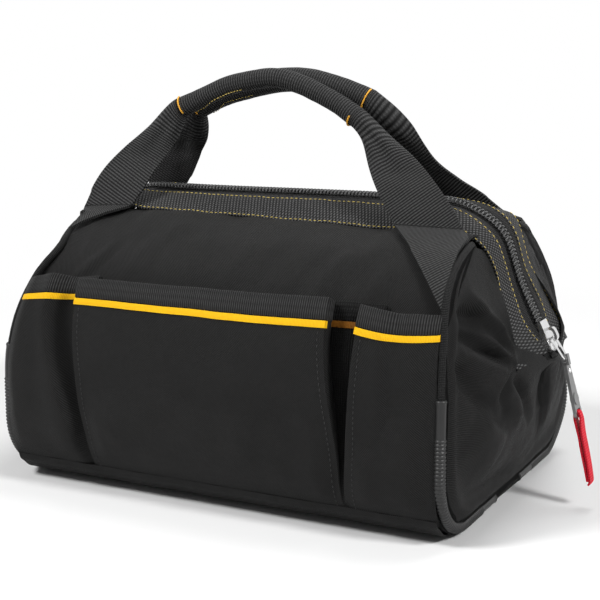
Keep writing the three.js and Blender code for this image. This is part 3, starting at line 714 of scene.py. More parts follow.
def wall_folds(side):
    """Soft slack in a wall: quiet low down, and wavier over the shoulder."""
    def height(u, v):
        x = (u - 0.5) * 2 * body_half_length
        run = v * wall.length
        shoulder = ramp(120, 175, run)
        slack = 0.8 * waves(x, run * 1.4, 48, 3.0 + side) - 1.3
        drape = 0.95 * waves(x + 0.25 * run, run * 0.22, 13, 8.0 + side, 1)
        hung = folds_at(side * -x, run, shoulder_folds)
        return slack * mix(0.35, 1.0, shoulder) + drape * mix(0.15, 1.0, shoulder) + hung
    return height


def make_walls():
    for side, name in front_and_rear:
        folds = wall_folds(side)

        def flat(u, v):
            reach = half_length(wall.at(v).y) - piping_inset
            return on_wall(side, mix(-reach, reach, u), v)

        surface = raised_along(flat, lambda u, v: -side * folds(u, v))
        bm = grid(130, 96, surface, 2 * body_half_length, wall.length)
        thickened(bm, fabric)
        piece = finished(f"{name}_wall", bm, twill, [f"{name}_panel"])


def make_base():
    half_y = body_half_depth - corner_radius

    def surface(u, v):
        x, y = mix(-panel_reach, panel_reach, u), mix(-half_y, half_y, v)
        edge = min(half_y - abs(y), panel_reach - abs(x))
        z = 0.15 + 0.5 * (1 + waves(x, y, 30, 5.0)) * ramp(0, 12, edge)
        return settled(Vector((x, y, z)))

    bm = grid(60, 36, surface, 2 * panel_reach, 2 * half_y)
    thickened(bm, fabric)
    piece = finished("base", bm, twill, ["base_panel"])


def notch_line(side):
    """The end panel's inner edge: down over one band, across under the zip's end and up again."""
    def half(mouth_side):
        def at(distance, out, raised):
            share = distance / zip_line.length
            return on_mouth(mouth_side, share if side < 0 else 1 - share, out, raised)
        points = []
        for i in range(9):
            t = i / 8
            over = ramp(0.2, 0.8, t)
            under = ramp(0.14, 0, t)
            points.append(at(mix(notch_length, 17, t),
                             mix(band_outer + 1.2, band_outer - 3, over) - 3.4 * under,
                             mix(-1, 2.6, over) - 1.2 * under))
        return points + [at(11.5, 29, 3.0), at(8, 26, 2.8), at(4.4, 22.5, 2.0),
                         at(1.2, 20.5, 0.8), at(0, 0, 0.2)]
    return rounded(half(-1) + half(1)[-2::-1])


# Folds of an end panel: where each starts and ends as depth and height, its width and its height.
gusset_folds = [
    ((84, 128), (96, 114), 3.2, 2.0),
    ((98, 108), (99, 84), 3.4, 1.8),
    ((84, 124), (62, 118), 5.5, -5.0),
    ((68, 130), (54, 115), 4.5, 3.6),
    ((54, 115), (46, 98), 4.0, 3.2),
    ((86, 114), (72, 108), 4.5, -4.5),
    ((68, 110), (51, 94), 3.6, 4.2),
    ((76, 105), (53, 95), 2.4, -3.4),
    ((88, 103), (58, 90), 6.5, 4.6),
    ((97, 103), (77, 80), 4.5, -3.6),
    ((77, 80), (59, 61), 5.0, -2.8),
    ((52, 87), (60, 76), 2.8, -2.4),
    ((60, 76), (57, 66), 2.8, -1.8),
    ((46, 82), (38, 72), 3.4, -2.8),
    ((38, 72), (27, 57), 4.0, -2.2),
    ((50, 76), (46, 62), 5.0, 2.0),
    ((88, 64), (62, 46), 14.0, 3.0),
    ((80, 24), (24, 22), 9.0, -2.4),
    ((0, 84), (0, 56), 15.0, -5.0),
]


def gusset_surface(side):
    notch = notch_line(side)
    seam = seams[side]

    def surface(u, v):
        inner = notch.at(u)
        edge = seam.at(mix(0.012, 0.988, u))
        outer = edge + (inner - edge).normalized() * 2.6
        p = inner.lerp(outer, v)
        rear = ramp(0.52, 0.66, u) if side > 0 else 0.0
        p.x += side * end_bulge * sin(pi * v) * sin(pi * u) * (1 - 0.8 * rear)
        fade = ramp(0, 0.12, v) * ramp(0.98, 0.8, v) * ramp(0, 0.05, u) * ramp(1, 0.95, u)
        shift = 0.0 if p.y * side < 0 else 7.0
        folds = folds_at(abs(p.y) + shift, p.z, gusset_folds)
        slack = 1.0 * waves(p.y, p.z, 26, 2.0 * side) + 0.3 * waves(p.y, p.z, 9, 6.0 + side)
        allowance = 2.0 * hump((1 - v) * 62, 5.0, 2.6)
        p.x += side * ((folds * mix(1.6, 0.5, rear) + slack) * fade + allowance)
        return p
    return surface


def make_end_panels():
    for side, name in left_and_right:
        bm = grid(260, 64, gusset_surface(side), seams[side].length, gusset_depth)
        thickened(bm, fabric)
        piece = finished(f"{name}_gusset", bm, twill, [f"{name}_end_panel"])


def round_seam(side, share, v, radius):
    """A point of a round piece on an end seam: v 0 faces out of the bag's end."""
    centre, along = seams[side].at(share), seams[side].along(share)
    outward = Vector((side, 0, 0))
    outward = (outward - along * outward.dot(along)).normalized()
    away = along.cross(outward).normalized()
    if away.dot(Vector((0, centre.y, centre.z - wall_top))) < 0:
        away.negate()
    angle = 2 * pi * v
    return centre + (outward * cos(angle) + away * sin(angle)) * radius


def make_piping():
    for side, name in left_and_right:
        length = seams[side].length

        def surface(u, v):
            radius = piping_radius + 0.12 * waves(u * length, 2 * pi * v, 6, 4.0)
            return round_seam(side, mix(0.01, 0.99, u), v, radius)

        bm = closed_tube(420, 14, surface, length, 2 * pi * piping_radius)
        finished(f"{name}_piping", bm, piping_cloth, [f"{name}_end_piping"])


def sleeve_radius(distance, length):
    """The sleeve's radius: smooth ends with rounded lips, and ribs between them."""
    from_end = min(distance, length - distance)
    lip = 0.35 * hump(from_end, 0.8, 1.1)
    ribbed = ramp(protector_smooth - 1, protector_smooth + 1, from_end)
    rib = (0.5 - 0.5 * cos(2 * pi * distance / rib_pitch)) ** 0.6
    plain = mix(protector_inner, protector_outer - rib_height, ramp(-0.2, 0.9, from_end))
    return plain + lip + ribbed * rib * rib_height


def make_protectors():
    for side, end_name in left_and_right:
        seam = seams[side]
        top = share_where(seam, lambda p: p.z < protector_top, 0, 0.5)
        low = share_where(seam, lambda p: p.z < wall_top / 2 and -p.y < protector_end_y, 0, 0.5)
        for name, start, end in (("front", top, low), ("rear", 1 - low, 1 - top)):
            length = (end - start) * seam.length

            def surface(u, v):
                radius = sleeve_radius(u * length, length)
                return round_seam(side, mix(start, end, u), v, radius)

            bm = closed_tube(round(length / sleeve_step), 20, surface, length, 20)
            node = f"{name}_{end_name}_protector"
            finished(f"{node}_sleeve", bm, corner_plastic, [node], 60)


# The mouth


def wander(side, share, out, across, wave):
    """How a strip's cloth strays out from the zip and off its own face; across is 1 at its edge."""
    run = share * zip_line.length
    ripple = waves(run, out * 0.6, 22, 7.0 + side)
    sway = 1.7 * (1 + waves(run, 0, 30, 9.0 + side)) * across
    return wave * sway, wave * ripple


def mouth_strip(side, inner, outer, top, thickness, counts, wave=0.0, inset=0.0, raised=0.0):
    """A strip along the zip. raised lifts the tape, beyond its sewn cord, up to the band."""
    edge = inset / zip_line.length

    def surface(u, v):
        share, out = mix(edge, 1 - edge, u), mix(inner, outer, v)
        sway, ripple = wander(side, share, out, v, wave)
        return on_mouth(side, share, out + sway, top + ripple + raised * ramp(5.5, 9.5, out))

    bm = grid(*counts, surface, zip_line.length, outer - inner)
    return thickened(bm, thickness, below_mouth)


def make_mouth():
    for side, name in front_and_rear:
        bm = mouth_strip(side, band_inner, band_outer, 0, band_thickness, (320, 16),
                         wave=band_wave, inset=band_inset)
        band = finished(f"{name}_band", bm, band_webbing, [f"{name}_zip_band"])
        bm = mouth_strip(side, tape_inner, tape_outer, tape_level, tape_thickness, (260, 10),
                         raised=tape_raised - tape_level)
        tape = finished(f"{name}_tape", bm, tape_cloth, [f"{name}_zip_tape"])
        finished(f"{name}_coil", coil_mesh(side), coil_plastic,
                 [f"{name}_zip_coil"], 75)
        finished(f"{name}_cord_edge", lip_mesh(side), tape_cloth)


def coil_mesh(side):
    """One row of teeth: a flattened coil of stiff wire along the zip."""
    run = zip_line.length - 2 * coil_inset
    turns = round(run / coil_pitch)
    steps = 10
    slant = Vector((0.3, 0.9, 0.2))

    def middle(u):
        angle = 2 * pi * turns * u
        share = (coil_inset + run * u) / zip_line.length
        stand = ramp(mouth_corner_x, mouth_corner_x - 30, abs(zip_line.at(share).x))
        height = -0.1 + 0.9 * stand + (coil_half_height + 0.5 * stand) * sin(angle)
        return on_mouth(side, share, coil_middle - coil_half_width * cos(angle), height)

    def surface(u, v):
        step = 0.25 / (turns * steps)
        along = (middle(u + step) - middle(u - step)).normalized()
        first = (slant - along * along.dot(slant)).normalized()
        second = along.cross(first)
        angle = 2 * pi * v
        return middle(u) + (first * cos(angle) + second * sin(angle)) * coil_wire

    return closed_tube(turns * steps, 6, surface, run, 3)


def lip_mesh(side):
    """The sewn cord that runs beside the teeth and holds them to the tape."""
    def surface(u, v):
        angle = 2 * pi * v
        return on_mouth(side, mix(0.01, 0.99, u), lip_out + lip_half_width * cos(angle),
                        tape_level + 0.05 + 0.3 * sin(angle))
    return closed_tube(300, 8, surface, zip_line.length, 5)


# Pockets

pocket_low = share_at_height(pocket_bottom)
pocket_high = share_at_height(pocket_top)
pocket_tall = (pocket_high - pocket_low) * wall.length


def split_left(z):
    """The centre pocket's left edge."""
    return -85.4 + 4.6 * ramp(60, 12, z) - 4.2 * ramp(70, 118, z)


def centre_right(z):
    """The centre pocket's right edge."""
    return 75.6 + 6.3 * ramp(122, 40, z)


def right_left(z):
    """The right pocket's left edge: it meets the centre pocket at the bottom."""
    return 82.6 + 0.102 * max(0, z - 21)


def left_end(_):
    return -pocket_end


def right_end(_):
    return pocket_end


# Each pocket: its name, its side, its two edges as lines of height, how far each edge stands
# off the wall at the hem, how full it is, how far it runs on behind its neighbour, and how
# much higher its hem is at the left, in the middle and at the right.
pockets = [
    ("front_centre", -1, split_left, centre_right, 8.5, 10.5, 1.0, 0, (0, 0.6, 2.4)),
    ("front_left", -1, left_end, lambda z: split_left(z) + tucked * ramp(30, 112, z),
     0.0, -1.6, 1.0, tucked, (-0.5, 1.5, 4.5)),
    ("front_right", -1, right_left, right_end, 10.0, 0.0, 0.85, 0, (2.8, -0.8, 3.6)),
    ("front_pleat", -1, lambda z: centre_right(z) - 4, lambda z: right_left(z) + 4,
     -1.8, -1.8, 0.0, 0, (3.4, 4.2, 4.6)),
    ("rear", 1, left_end, right_end, 0.0, 0.0, 1.0, 0, (0, 0, 0)),
]


def pocket_width(left, right):
    """The width of a pocket's cloth, with what is turned back at both edges."""
    return right(100) - left(100) + 2 * pocket_return


def hem_rise(x, across, seed, heights):
    """How the hem wanders up and down along a pocket."""
    left, middle, right = heights
    curve = (left * (1 - across) * (1 - 2 * across) + 4 * middle * across * (1 - across)
             + right * across * (2 * across - 1))
    return curve + 0.7 * waves(x, 0, 52, 11.0 + seed, 1) + 0.3 * waves(x, 0, 16, 12.0, 1)


def pocket_surface(side, left, right, free_left, free_right, fullness, behind, heights, seed):
    """A pocket's outer face, with a return to the wall at an edge that stands free of it."""
    def surface(u, v, out=0.0, rise=0.0):
        high = hem_rise(mix(left(120), right(120), u), u, seed, heights)
        share = mix(pocket_low, pocket_high + high / wall.length, v + rise / pocket_tall)
        z = wall.at(share).y
        x0, x1 = left(z), right(z)
        width = x1 - x0 + 2 * pocket_return
        cloth = u * width
        from_left, from_right = cloth - pocket_return, width - pocket_return - cloth
        run = (share - pocket_low) * wall.length
        up = ramp(0, 34, run)
        free = mix(free_left, free_right, ramp(0.35, 0.65, u)) * ramp(4, 75, run)
        nearest = min(from_left, from_right)
        x = min(max(x0 + from_left, x0), x1)
        belly = 1 - 0.2 * ramp(0.5, 1.0, v)
        slack = (waves(x + 0.5 * run, run, 44, 14.0 + seed) * 2.0
                 + waves(x, run * 0.4, 14, 15.0 + seed, 1) * 0.7)
        draw = -1.2 * hump(run, 2, 6) * (0.5 + 0.5 * waves(x, 0, 7, 16.0, 1))
        full = (pocket_stand * belly * fullness + slack * mix(0.3, 1, fullness) + draw) * up
        if behind:
            low = 9 * ramp(40, 112, z)
            hidden = behind * ramp(30, 112, z)
            valley = ramp(low, low + mix(7, 15, ramp(30, 100, z)), from_right - hidden)
            ridge = 1.6 * hump(from_right - hidden, low + 13, 8) * up
            stand = mix(free_right, full * ramp(-4, 9, from_left), valley) + ridge
        else:
            stand = mix(free, max(full, free), ramp(0, 15, nearest))
        if nearest < 0 and (free_left if from_left < from_right else free_right) < 0:
            x = x0 + from_left
        elif nearest < 0:
            back = min(-nearest / pocket_return, 1)
            x += 2.4 * back * (1 if from_left < 0 else -1)
            stand = mix(free, min(free, -1.8), back ** 0.8)
        return on_wall(side, x, share, pocket_lift + stand + out)
    return surface


def hem_band(surface, low, high, inner, outer, count_u, length):
    """A folded strip round a pocket's top edge, from one height to another."""
    def place(u, v):
        angle = 2 * pi * v
        across, along = cos(angle), sin(angle)
        square = max(abs(across), abs(along)) ** 0.75
        out = mix(inner, outer, 0.5 + 0.5 * across / square)
        rise = mix(low, high, 0.5 + 0.5 * along / square)
        return surface(mix(0.002, 0.998, u), 1.0, out, rise)
    return closed_tube(count_u, 20, place, length, 2 * (high - low))


def make_pockets():
    for seed, (name, side, left, right, *shape) in enumerate(pockets):
        surface = pocket_surface(side, left, right, *shape, seed)
        width = pocket_width(left, right)
        cloth, binding, ribbon = twill, grosgrain, yellow_ribbon
        pocket_nodes, hem_nodes, trim_nodes = ([f"{name}_{part}"] for part in (
            "pocket", "binding", "ribbon"))
        # The pleat lies deep between the pockets: its cloth, binding and ribbon take darker copies
        # of their finishes, with the fold's shade painted in.
        if name == "front_pleat":
            cloth, binding, ribbon = pleat_painted_shade_cloth, pleat_painted_shade_cloth, pleat_painted_shade_ribbon
            pocket_nodes = hem_nodes = trim_nodes = ()
        bm = grid(max(round(width / 1.7), 24), 70, surface, width, pocket_tall)
        thickened(bm, fabric)
        face = finished(f"{name}_face", bm, cloth, pocket_nodes)
        count = max(round(width / 1.2), 30)
        bm = hem_band(surface, -binding_height, 1.0, -fabric - 0.7, 0.8, count, width)
        hem = finished(f"{name}_hem", bm, binding, hem_nodes)
        bm = hem_band(surface, -binding_height - ribbon_drop, -binding_height - 0.3, 0.1, 0.75,
                      count, width)
        trim = finished(f"{name}_trim", bm, ribbon, trim_nodes)
        width * MM
        pocket_tall * MM


def make_base_strips():
    """The strip of the base's cloth that is turned up over the pockets' lower edges."""
    low, high = share_at_height(1.2), share_at_height(pocket_bottom + 3.4)
    tall = (high - low) * wall.length
    for side, name in front_and_rear:
        def surface(u, v):
            x = mix(-panel_reach, panel_reach, u)
            share = mix(low, high + 0.6 * waves(x, 0, 30, 21.0, 1) / wall.length, v)
            edge = 1.0 * hump(v, 0.86, 0.1) + 0.5 * waves(x, v * 12, 16, 22.0) * v
            return on_wall(side, x, share, pocket_lift + mix(-2.4, 0.4, ramp(0, 0.6, v)) + edge)

        bm = grid(180, 16, surface, 2 * panel_reach, tall)
        thickened(bm, fabric)
        strip = finished(f"{name}_base_strip", bm, twill)
        tall * MM


# Handles: one webbing each, sewn to a shoulder, up to the grip, rolled up there and down again

fold_point = on_wall(-1, 0, share_at_depth(handle_fold_y), anchor_stand)
fold_z = fold_point.z + 0.4


def line_of(*points):
    return rounded([Vector(p) for p in points])


# Each handle's grip, by its side of the bag
grips = {
    -1: line_of((-73.7, -9, 217.8), (-55.3, -8, 226.2), (-41.4, -7, 232.2), (-24.3, -7, 236.1),
                (-9.5, -7, 237.7), (5.8, -7, 234.6), (18.9, -7, 229.6), (31.9, -8, 223.8),
                (43.5, -9, 217.2)),
    1: line_of((-73, 9, 216.9), (-56.4, 8, 224.2), (-42.4, 7, 228.8), (-16.9, 7, 234.8),
               (2, 7, 235.8), (18.5, 7, 233), (31.6, 8, 229.2), (43.5, 9, 224.4)),
}

# The inner and outer edge of each strap from the grip down to the bag, by its side and its end
straps = {key: [line_of(*edge) for edge in edges] for key, edges in {
    (-1, -1): (((-71.1, -10, 212.1), (-74.1, -18, 197.5), (-79.7, -27, 185.4),
                (-84.4, -35, 174.3), (-89.5, -42.4, fold_z)),
               ((-79.7, -8, 221), (-86.5, -12, 215.5), (-97.5, -20, 202), (-111.1, -28, 188),
                (-120.5, -36, 175.5), (-124.9, -42.4, fold_z))),
    (-1, 1): (((44, -9, 213.6), (50, -16, 205.2), (62.6, -30, 187), (73.5, -38, 173.4),
               (82, -42.4, fold_z)),
              ((50.4, -9, 219.8), (68, -14, 208), (87.5, -22, 196), (107.5, -33, 180.6),
               (125, -42.4, fold_z))),
    (1, -1): (((-70.5, 10, 210.5), (-72.1, 16, 199.9), (-79.5, 24, 188), (-89.5, 33, 176),
               (-103.5, 42.4, fold_z)),
              ((-78.1, 8, 216.5), (-89, 12, 211), (-107, 22, 198), (-122.5, 33, 182),
               (-132.5, 42.4, fold_z))),
    (1, 1): (((41.9, 9, 217.8), (47.5, 16, 206), (59.5, 28, 188.5), (71.5, 37, 174.5),
              (82, 42.4, fold_z)),
             ((48.4, 8, 228.2), (60.5, 14, 217), (69.5, 20, 205), (78.5, 29, 189.5),
              (90.5, 36, 179), (104.5, 40, 172.6), (120, 42.4, fold_z))),
}.items()}

shares_by_depth = {}


def share_at_depth_of(depth):
    """The wall's share at a depth, kept to a tenth of a millimetre."""
    key = round(depth, 1)
    if key not in shares_by_depth:
        shares_by_depth[key] = share_at_depth(key)
    return shares_by_depth[key]


def anchor_shares(side, end, v):
    """Where a sewn end starts and ends on the wall."""
    return share_at_depth_of(handle_fold_y), share_at_depth_of(mix(*anchor_ends[side, end], v))


def strap_middle(side, end, share):
    inner_line, outer_line = straps[side, end]
    return (inner_line.at(share) + outer_line.at(share)) / 2


def anchor_point(side, end, t, v):
    """The sewn end of a strap on the bag's shoulder, from the fold (t 0) to the end seam (t 1)."""
    inner, outer = (line.at(1) for line in straps[side, end])
    top_share, low_share = anchor_shares(side, end, v)
    short = 0.9 if end > 0 else 4.0
    x0 = unsettled(mix(inner.x, outer.x, v), side, top_share)
    x1 = end * (half_length(wall.at(low_share).y) - short)
    p = on_wall(side, mix(x0, x1, t), mix(top_share, low_share, t), anchor_stand)
    crease = 0.5 * waves(p.x, p.y, 13, 17.0) * ramp(0, 0.3, t)
    return p + Vector((0, side * 0.5, 0.8)) * crease


def arc_point(middle, across, outward, width, roll, v):
    """A point of a webbing curled about its length: v runs across it, and roll is its angle."""
    if roll < 0.05:
        return middle + across * (v - 0.5) * width
    radius = width / (2 * sin(roll / 2))
    angle = (v - 0.5) * roll
    return (middle + across * radius * sin(angle)
            + outward * radius * (cos(angle) - cos(roll / 2)))


def strap_point(side, end, t, v):
    """A strap, from the fold on the bag (t 0) to the grip (t 1)."""
    inner, outer = (line.at(1 - t) for line in straps[side, end])
    across = outer - inner
    width = across.length
    across.normalize()
    step = 0.02
    along = strap_middle(side, end, 1 - t - step) - strap_middle(side, end, 1 - t + step)
    outward = along.normalized().cross(across).normalized()
    if outward.y > 0:
        outward.negate()
    roll = neck_roll * ramp(0.45, 1.0, t)
    sunk = outward * (neck_radius * cos(neck_roll / 2)) * ramp(0.5, 1.0, t)
    crease = 2.2 * hump(v, 0.42, 0.16) * ramp(0.25, 0.7, t) * ramp(1.02, 0.85, t)
    middle = (inner + outer) / 2 + sunk
    slack = 0.6 * waves(t * 60, v * 30, 17, 18.0 + end + side) * ramp(0, 0.3, t) * ramp(1, 0.7, t)
    return arc_point(middle, across, outward, width, roll, v) + outward * (slack - crease)


def grip_point(side, g, v):
    """The rolled grip, from its left end (g 0) to its right one, with v as on the left strap."""
    line = grips[side]
    centre, along = line.at(g), line.along(g)
    nearest = min(g, 1 - g)
    turned = ramp(0.2, 0.0, nearest) * pi / 2
    up = (Vector((0, 0, 1)) - along * along.z).normalized()
    out = (Vector((0, -1, 0)) + along * along.y).normalized()
    outward = (up * cos(turned) + out * sin(turned)).normalized()
    across = outward.cross(along).normalized()
    roll = mix(neck_roll, grip_roll, ramp(0.0, 0.12, nearest))
    radius = mix(neck_radius, grip_radius, ramp(0.0, 0.1, nearest))
    angle = (v - 0.5) * roll
    wave = 0.12 * waves(g * line.length, angle * 3, 8, 19.0)
    return centre + (across * sin(angle) + outward * cos(angle)) * (radius + wave)


def handle_place(u):
    """The stretch of webbing at a share of a handle's length, its end, and how far along it is."""
    run = u * handle_run
    end = -1 if run < handle_run / 2 else 1
    from_end = min(run, handle_run - run)
    if from_end < anchor_run:
        return "anchor", end, 1 - from_end / anchor_run
    if from_end < anchor_run + strap_run:
        return "strap", end, (from_end - anchor_run) / strap_run
    return "grip", end, (run - anchor_run - strap_run) / grip_run


def handle_point(side, u, v):
    """A point of a handle's webbing, from the left end seam over the grip to the right one."""
    stretch, end, t = handle_place(u)
    if stretch == "anchor":
        return anchor_point(side, end, t, v)
    if stretch == "grip":
        return grip_point(side, t, v)
    p = strap_point(side, end, t, v)
    if t < 0.4:
        p += (anchor_point(side, end, 0, v) - strap_point(side, end, 0, v)) * ramp(0.4, 0, t)
    return p.lerp(grip_point(side, 0 if end < 0 else 1, v), ramp(0.72, 1.0, t))


def anchor_mark(side, end, t, v):
    """Where a point of a sewn end lies on the webbing: back from the fold, and across it."""
    inner, outer = (line.at(1) for line in straps[side, end])

    def flat(t, v):
        top_share, low_share = anchor_shares(side, end, v)
        return Vector((mix(mix(inner.x, outer.x, v), end * anchor_end_x, t),
                       mix(top_share, low_share, t) * wall.length))

    start = flat(0, 0)
    run = (flat(1, 0) - start).normalized()
    away = flat(t, v) - start
    return -away.dot(run), abs(away.x * run.y - away.y * run.x)


def strap_mark(side, end, t, v):
    """Where a point of a strap lies on the webbing, whose ribs stay square to the strap."""
    low = strap_middle(side, end, 1)
    axis = (strap_middle(side, end, 0) - low).normalized()
    inner, outer = (line.at(1 - t) for line in straps[side, end])
    along = (inner.lerp(outer, v) - low).dot(axis)
    return mix(along, t * strap_run, ramp(0.35, 0.95, t)), v * webbing_width


def handle_mark(side, u, v):
    """A handle's webbing as it is woven: along it and across it."""
    stretch, end, t = handle_place(u)
    if stretch == "grip":
        return u * handle_run, v * webbing_width
    along, across = (anchor_mark if stretch == "anchor" else strap_mark)(side, end, t, v)
    return (anchor_run + along if end < 0 else handle_run - anchor_run - along), across


def make_handles():
    for side, name in front_and_rear:
        bm = grid(300, 30, lambda u, v: handle_point(side, u, v), handle_run, webbing_width,
                  lambda u, v: handle_mark(side, u, v))
        folds = [v for v in bm.verts if -8 < v.co.z - fold_z < 5]
        for _ in range(4):
            bmesh.ops.smooth_vert(bm, verts=folds, factor=0.5, use_axis_x=True, use_axis_y=True,
                                  use_axis_z=True)
        thickened(bm, webbing_thickness)
        nodes = [f"{name}_{part}" for part in (
            "grip", "left_strap", "right_strap", "left_anchor", "right_anchor")]
        y = side * handle_fold_y * MM
        piece = finished(f"{name}_handle_webbing", bm, webbing, nodes,
                         blend=("root", f"{name}_handle", (0, y, blend_low), (0, y, blend_high)))


# Stitching

thread_radius = 0.25
tack_radius = 0.55
band_rows = (band_inner + 1.6, band_outer - 0.9)
band_stitch_pitch = 3.3
edge_row = 4.5                          # how far inside a pleat's edge its stitches run
edge_row_top = 0.88                     # and how far up they go, as a share of the pocket

def stitches(name, places, material, length, radius, body="root"):
    """One mesh of short stitches, each with a middle, the way it runs and the way it faces."""
    bm = bmesh.new()
    for middle, along, facing in places:
        along = along.normalized()
        across = along.cross(facing).normalized()
        facing = across.cross(along)
        turn = Matrix((along * length / 2, across * radius, facing * radius)).transposed()
        bmesh.ops.create_icosphere(bm, subdivisions=1, radius=1.0,
                                   matrix=Matrix.Translation(middle) @ turn.to_4x4())
    bmesh.ops.recalc_face_normals(bm, faces=bm.faces)
    finished(name, bm, material, smooth_angle=120, body=body)


def row_of(line, length, pitch):
    """Evenly spaced stitches along line(share), which gives a point and the way it faces."""
    count = max(round(length / pitch), 1)
    made = []
    for i in range(count):
        share = (i + 0.5) / count
        point, facing = line(share)
        ahead, _ = line(share + 0.25 / count)
        made.append((point, ahead - point, facing))
    return made


def make_band_stitches():
    """Two rows on each band. On the rear one they are sewn only where the mouth turns down."""
    for side, name in front_and_rear:
        places = []
        for out in band_rows:
            across = (out - band_inner) / (band_outer - band_inner)

            def line(share):
                share = mix(0.03, 0.97, share)
                sway, ripple = wander(side, share, out, across, band_wave)
                facing = on_mouth(side, share, out, 1.0) - on_mouth(side, share, out, 0.0)
                return on_mouth(side, share, out + sway, ripple + 0.12), facing

            row = row_of(line, zip_line.length, band_stitch_pitch)
            if side > 0:
                row = [place for place in row if abs(place[0].x) > 94 + 28 * across]
            places += row
        stitches(f"{name}_band_stitches", places, yellow_thread, 2.3, thread_radius)


# The bar tacks of each handle: the place along the grip, and their two ends across the webbing
tacks = {-1: ((0.012, 0.34, 0.8), (0.988, 0.14, 0.5)), 1: ((0.012, 0.34, 0.8), (0.988, 0.2, 0.8))}


def on_grip(side, g, v, stand_off):
    """A point a little off the rolled grip, with the way it faces."""
    p = grip_point(side, g, v)
    facing = (p - grips[side].at(g)).normalized()
    return p + facing * (stand_off + (webbing_thickness if side > 0 else 0)), facing


def make_handle_stitches():
    """The bar tacks at the grips' ends and the seam under each grip."""
    for side, name in front_and_rear:
        places = []
        for g, low, high in tacks[side]:
            places += row_of(lambda share: on_grip(side, g, mix(low, high, share), 0.45),
                             40 * (high - low), 0.9)
        body = f"{name}_handle"
        stitches(f"{name}_tacks", places, tack_thread, 1.5, tack_radius, body)
        seam = row_of(lambda share: on_grip(side, mix(0.06, 0.36, share), 0.1, 0.25), 44, 2.6)
        stitches(f"{name}_grip_seam", seam, yellow_thread, 1.9, 0.24, body)


def make_pocket_stitches():
    """The dark rows of stitches that hold the pleats' edges."""
    places = []
    for seed, (_, side, left, right, *shape) in enumerate(pockets[:3]):
        surface = pocket_surface(side, left, right, *shape, seed)
        edge = (pocket_return + edge_row) / pocket_width(left, right)
        facing = Vector((0, side, 0.2))
        for share, free in zip((edge, 1 - edge), shape):
            if free > 0:
                places += row_of(lambda v: (surface(share, v * edge_row_top, 0.1), facing),
                                 pocket_tall * edge_row_top, 3.0)
    stitches("pocket_stitches", places, black_thread, 2.2, 0.3)


# Slider, link, pull and ribbon


def finish_hard_parts():
    """The solids that keep their shape from the source take their finish here."""
    for node, material in (("zip_slider", bright_metal), ("pull_link", bright_metal),
                           ("zip_pull", dark_metal), ("pull_rivet", bright_metal),
                           ("base_board", board_plastic)):
        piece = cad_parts[node]
        piece.data.materials.clear()
        piece.data.materials.append(material)


def swung(origin, hang):
    """A frame whose x runs down a hanging part and whose z points out of the bag."""
    down = Vector((sin(radians(hang)), 0, -cos(radians(hang))))
    out = Vector((-down.z, 0, down.x))
    turn = Matrix((down, Vector((0, 1, 0)), out)).transposed().to_4x4()
    return Matrix.Translation(Vector(origin)) @ turn


cord_place = swung(cord_eye, cord_hang)
cord_loop = line_of(*((x, 0, z) for x, z in (
    (41.0, -0.4), (38.5, 1.0), (30, 1.5), (20, 1.6), (12, 1.5), (6, 1.9), (1.5, 2.3), (-1.6, 1.8),
    (-2.9, 0.0), (-1.6, -1.8), (1.5, -2.3), (6, -1.9), (12, -1.5), (20, -1.6), (30, -1.5),
    (38.5, -1.4))))


def make_cord():
    """The ribbon looped through the pull, its ends sewn together at the bottom."""
    def surface(u, v):
        p = cord_loop.at(u)
        across = mix(-cord_width / 2, cord_width / 2, v) * mix(1.0, 0.66, hump(p.x, -1, 5))
        return cord_place @ Vector((p.x, across, p.z))

    bm = grid(150, 8, surface, cord_loop.length, cord_width)
    thickened(bm, cord_thickness, cord_place @ Vector((18, 0, 0)))
    finished("pull_ribbon", bm, red_ribbon, ["pull_cord"], body="cord")


def make_zip_stops():
    for side, name in left_and_right:
        def surface(u, v):
            share = stop_reach * (0.5 + 0.5 * cos(2 * pi * v)) / zip_line.length
            k = mix(-1, 1, u)
            height = (2.0 - 0.9 * k * k) * (0.5 + 0.5 * sin(2 * pi * v))
            return on_mouth(1 if k > 0 else -1, share if side < 0 else 1 - share,
                            abs(k) * stop_half_width, tape_level + 0.3 + height)

        bm = closed_tube(30, 14, surface, 25, 9)
        finished(f"{name}_stop_tab", bm, tape_cloth, [f"{name}_zip_stop"])


# Room, light and camera

world_level = 0.18
lamp_aim = (0, 0, 0.1)
lamps = (("key", (-0.7, -1.0, 1.3), 0.5, 22), ("fill", (1.4, -0.35, 1.2), 0.4, 20),
         ("top", (0.2, 0.5, 1.8), 0.9, 13))         # each lamp's place, its width and its power
camera_place = (0.4417, -0.8612, 0.3127)
camera_aim = (0.0022, 0.0, 0.1033)
camera_lens = 97.54


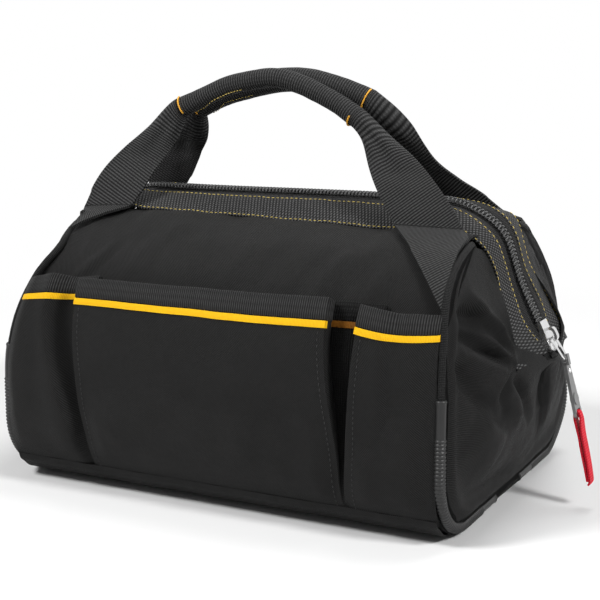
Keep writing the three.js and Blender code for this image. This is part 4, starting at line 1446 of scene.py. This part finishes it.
def paper():
    """The pale ground: it takes the bag's shadow, and further out the camera sees plain white."""
    finish = Finish("floor_paper", 0.9, Specular_IOR_Level=0.1)
    finish.colour(grey(0.86))
    away = finish.node("VectorMath", {"operation": "LENGTH"}, {0: finish.place()}).outputs["Value"]
    far = finish.band(Field(finish, away), 0.3, 0.62)
    glow = finish.node("Emission", {}, {"Color": grey(1.0), "Strength": 1.0})
    both = finish.node("MixShader", {}, {0: far * finish.seen(), 1: finish.shader.outputs[0],
                                         2: glow.outputs[0]})
    finish.plug(finish.tree.nodes["Material Output"].inputs["Surface"], both.outputs[0])
    return finish.material


def make_room():
    floor = bmesh.new()
    bmesh.ops.create_grid(floor, x_segments=1, y_segments=1, size=6.0)
    linked("floor", floor, paper())


def make_world():
    world = bpy.data.worlds.new("studio")
    scene.world = world
    world.use_nodes = True
    sky = Nodes(world.node_tree)
    level = sky.node("MapRange", {}, {0: sky.seen(), 3: world_level, 4: 1.0})
    glow = sky.tree.nodes["Background"]
    sky.plug(glow.inputs["Color"], grey(1.0))
    sky.plug(glow.inputs["Strength"], level.outputs[0])


def placed(name, data, place, aim):
    """A lamp or a camera at a place, turned towards another."""
    made = bpy.data.objects.new(name, data)
    made.location = place
    made.rotation_euler = (Vector(aim) - Vector(place)).to_track_quat("-Z", "Y").to_euler()
    scene.collection.objects.link(made)
    return made


def make_lights():
    for name, place, size, power in lamps:
        light = bpy.data.lights.new(name, "AREA")
        light.shape = "DISK"
        light.size = size
        light.energy = power
        placed(name, light, place, lamp_aim)


def make_camera():
    data = bpy.data.cameras.new("camera")
    data.lens = camera_lens
    data.sensor_width = 36
    scene.camera = placed("camera", data, camera_place, camera_aim)


scene.view_settings.view_transform = "Standard"
make_camera()
make_walls()
make_base()
make_end_panels()
make_piping()
make_protectors()
make_mouth()
make_zip_stops()
make_pockets()
make_base_strips()
make_handles()
make_band_stitches()
make_handle_stitches()
make_pocket_stitches()
finish_hard_parts()
make_cord()
make_room()
make_world()
make_lights()
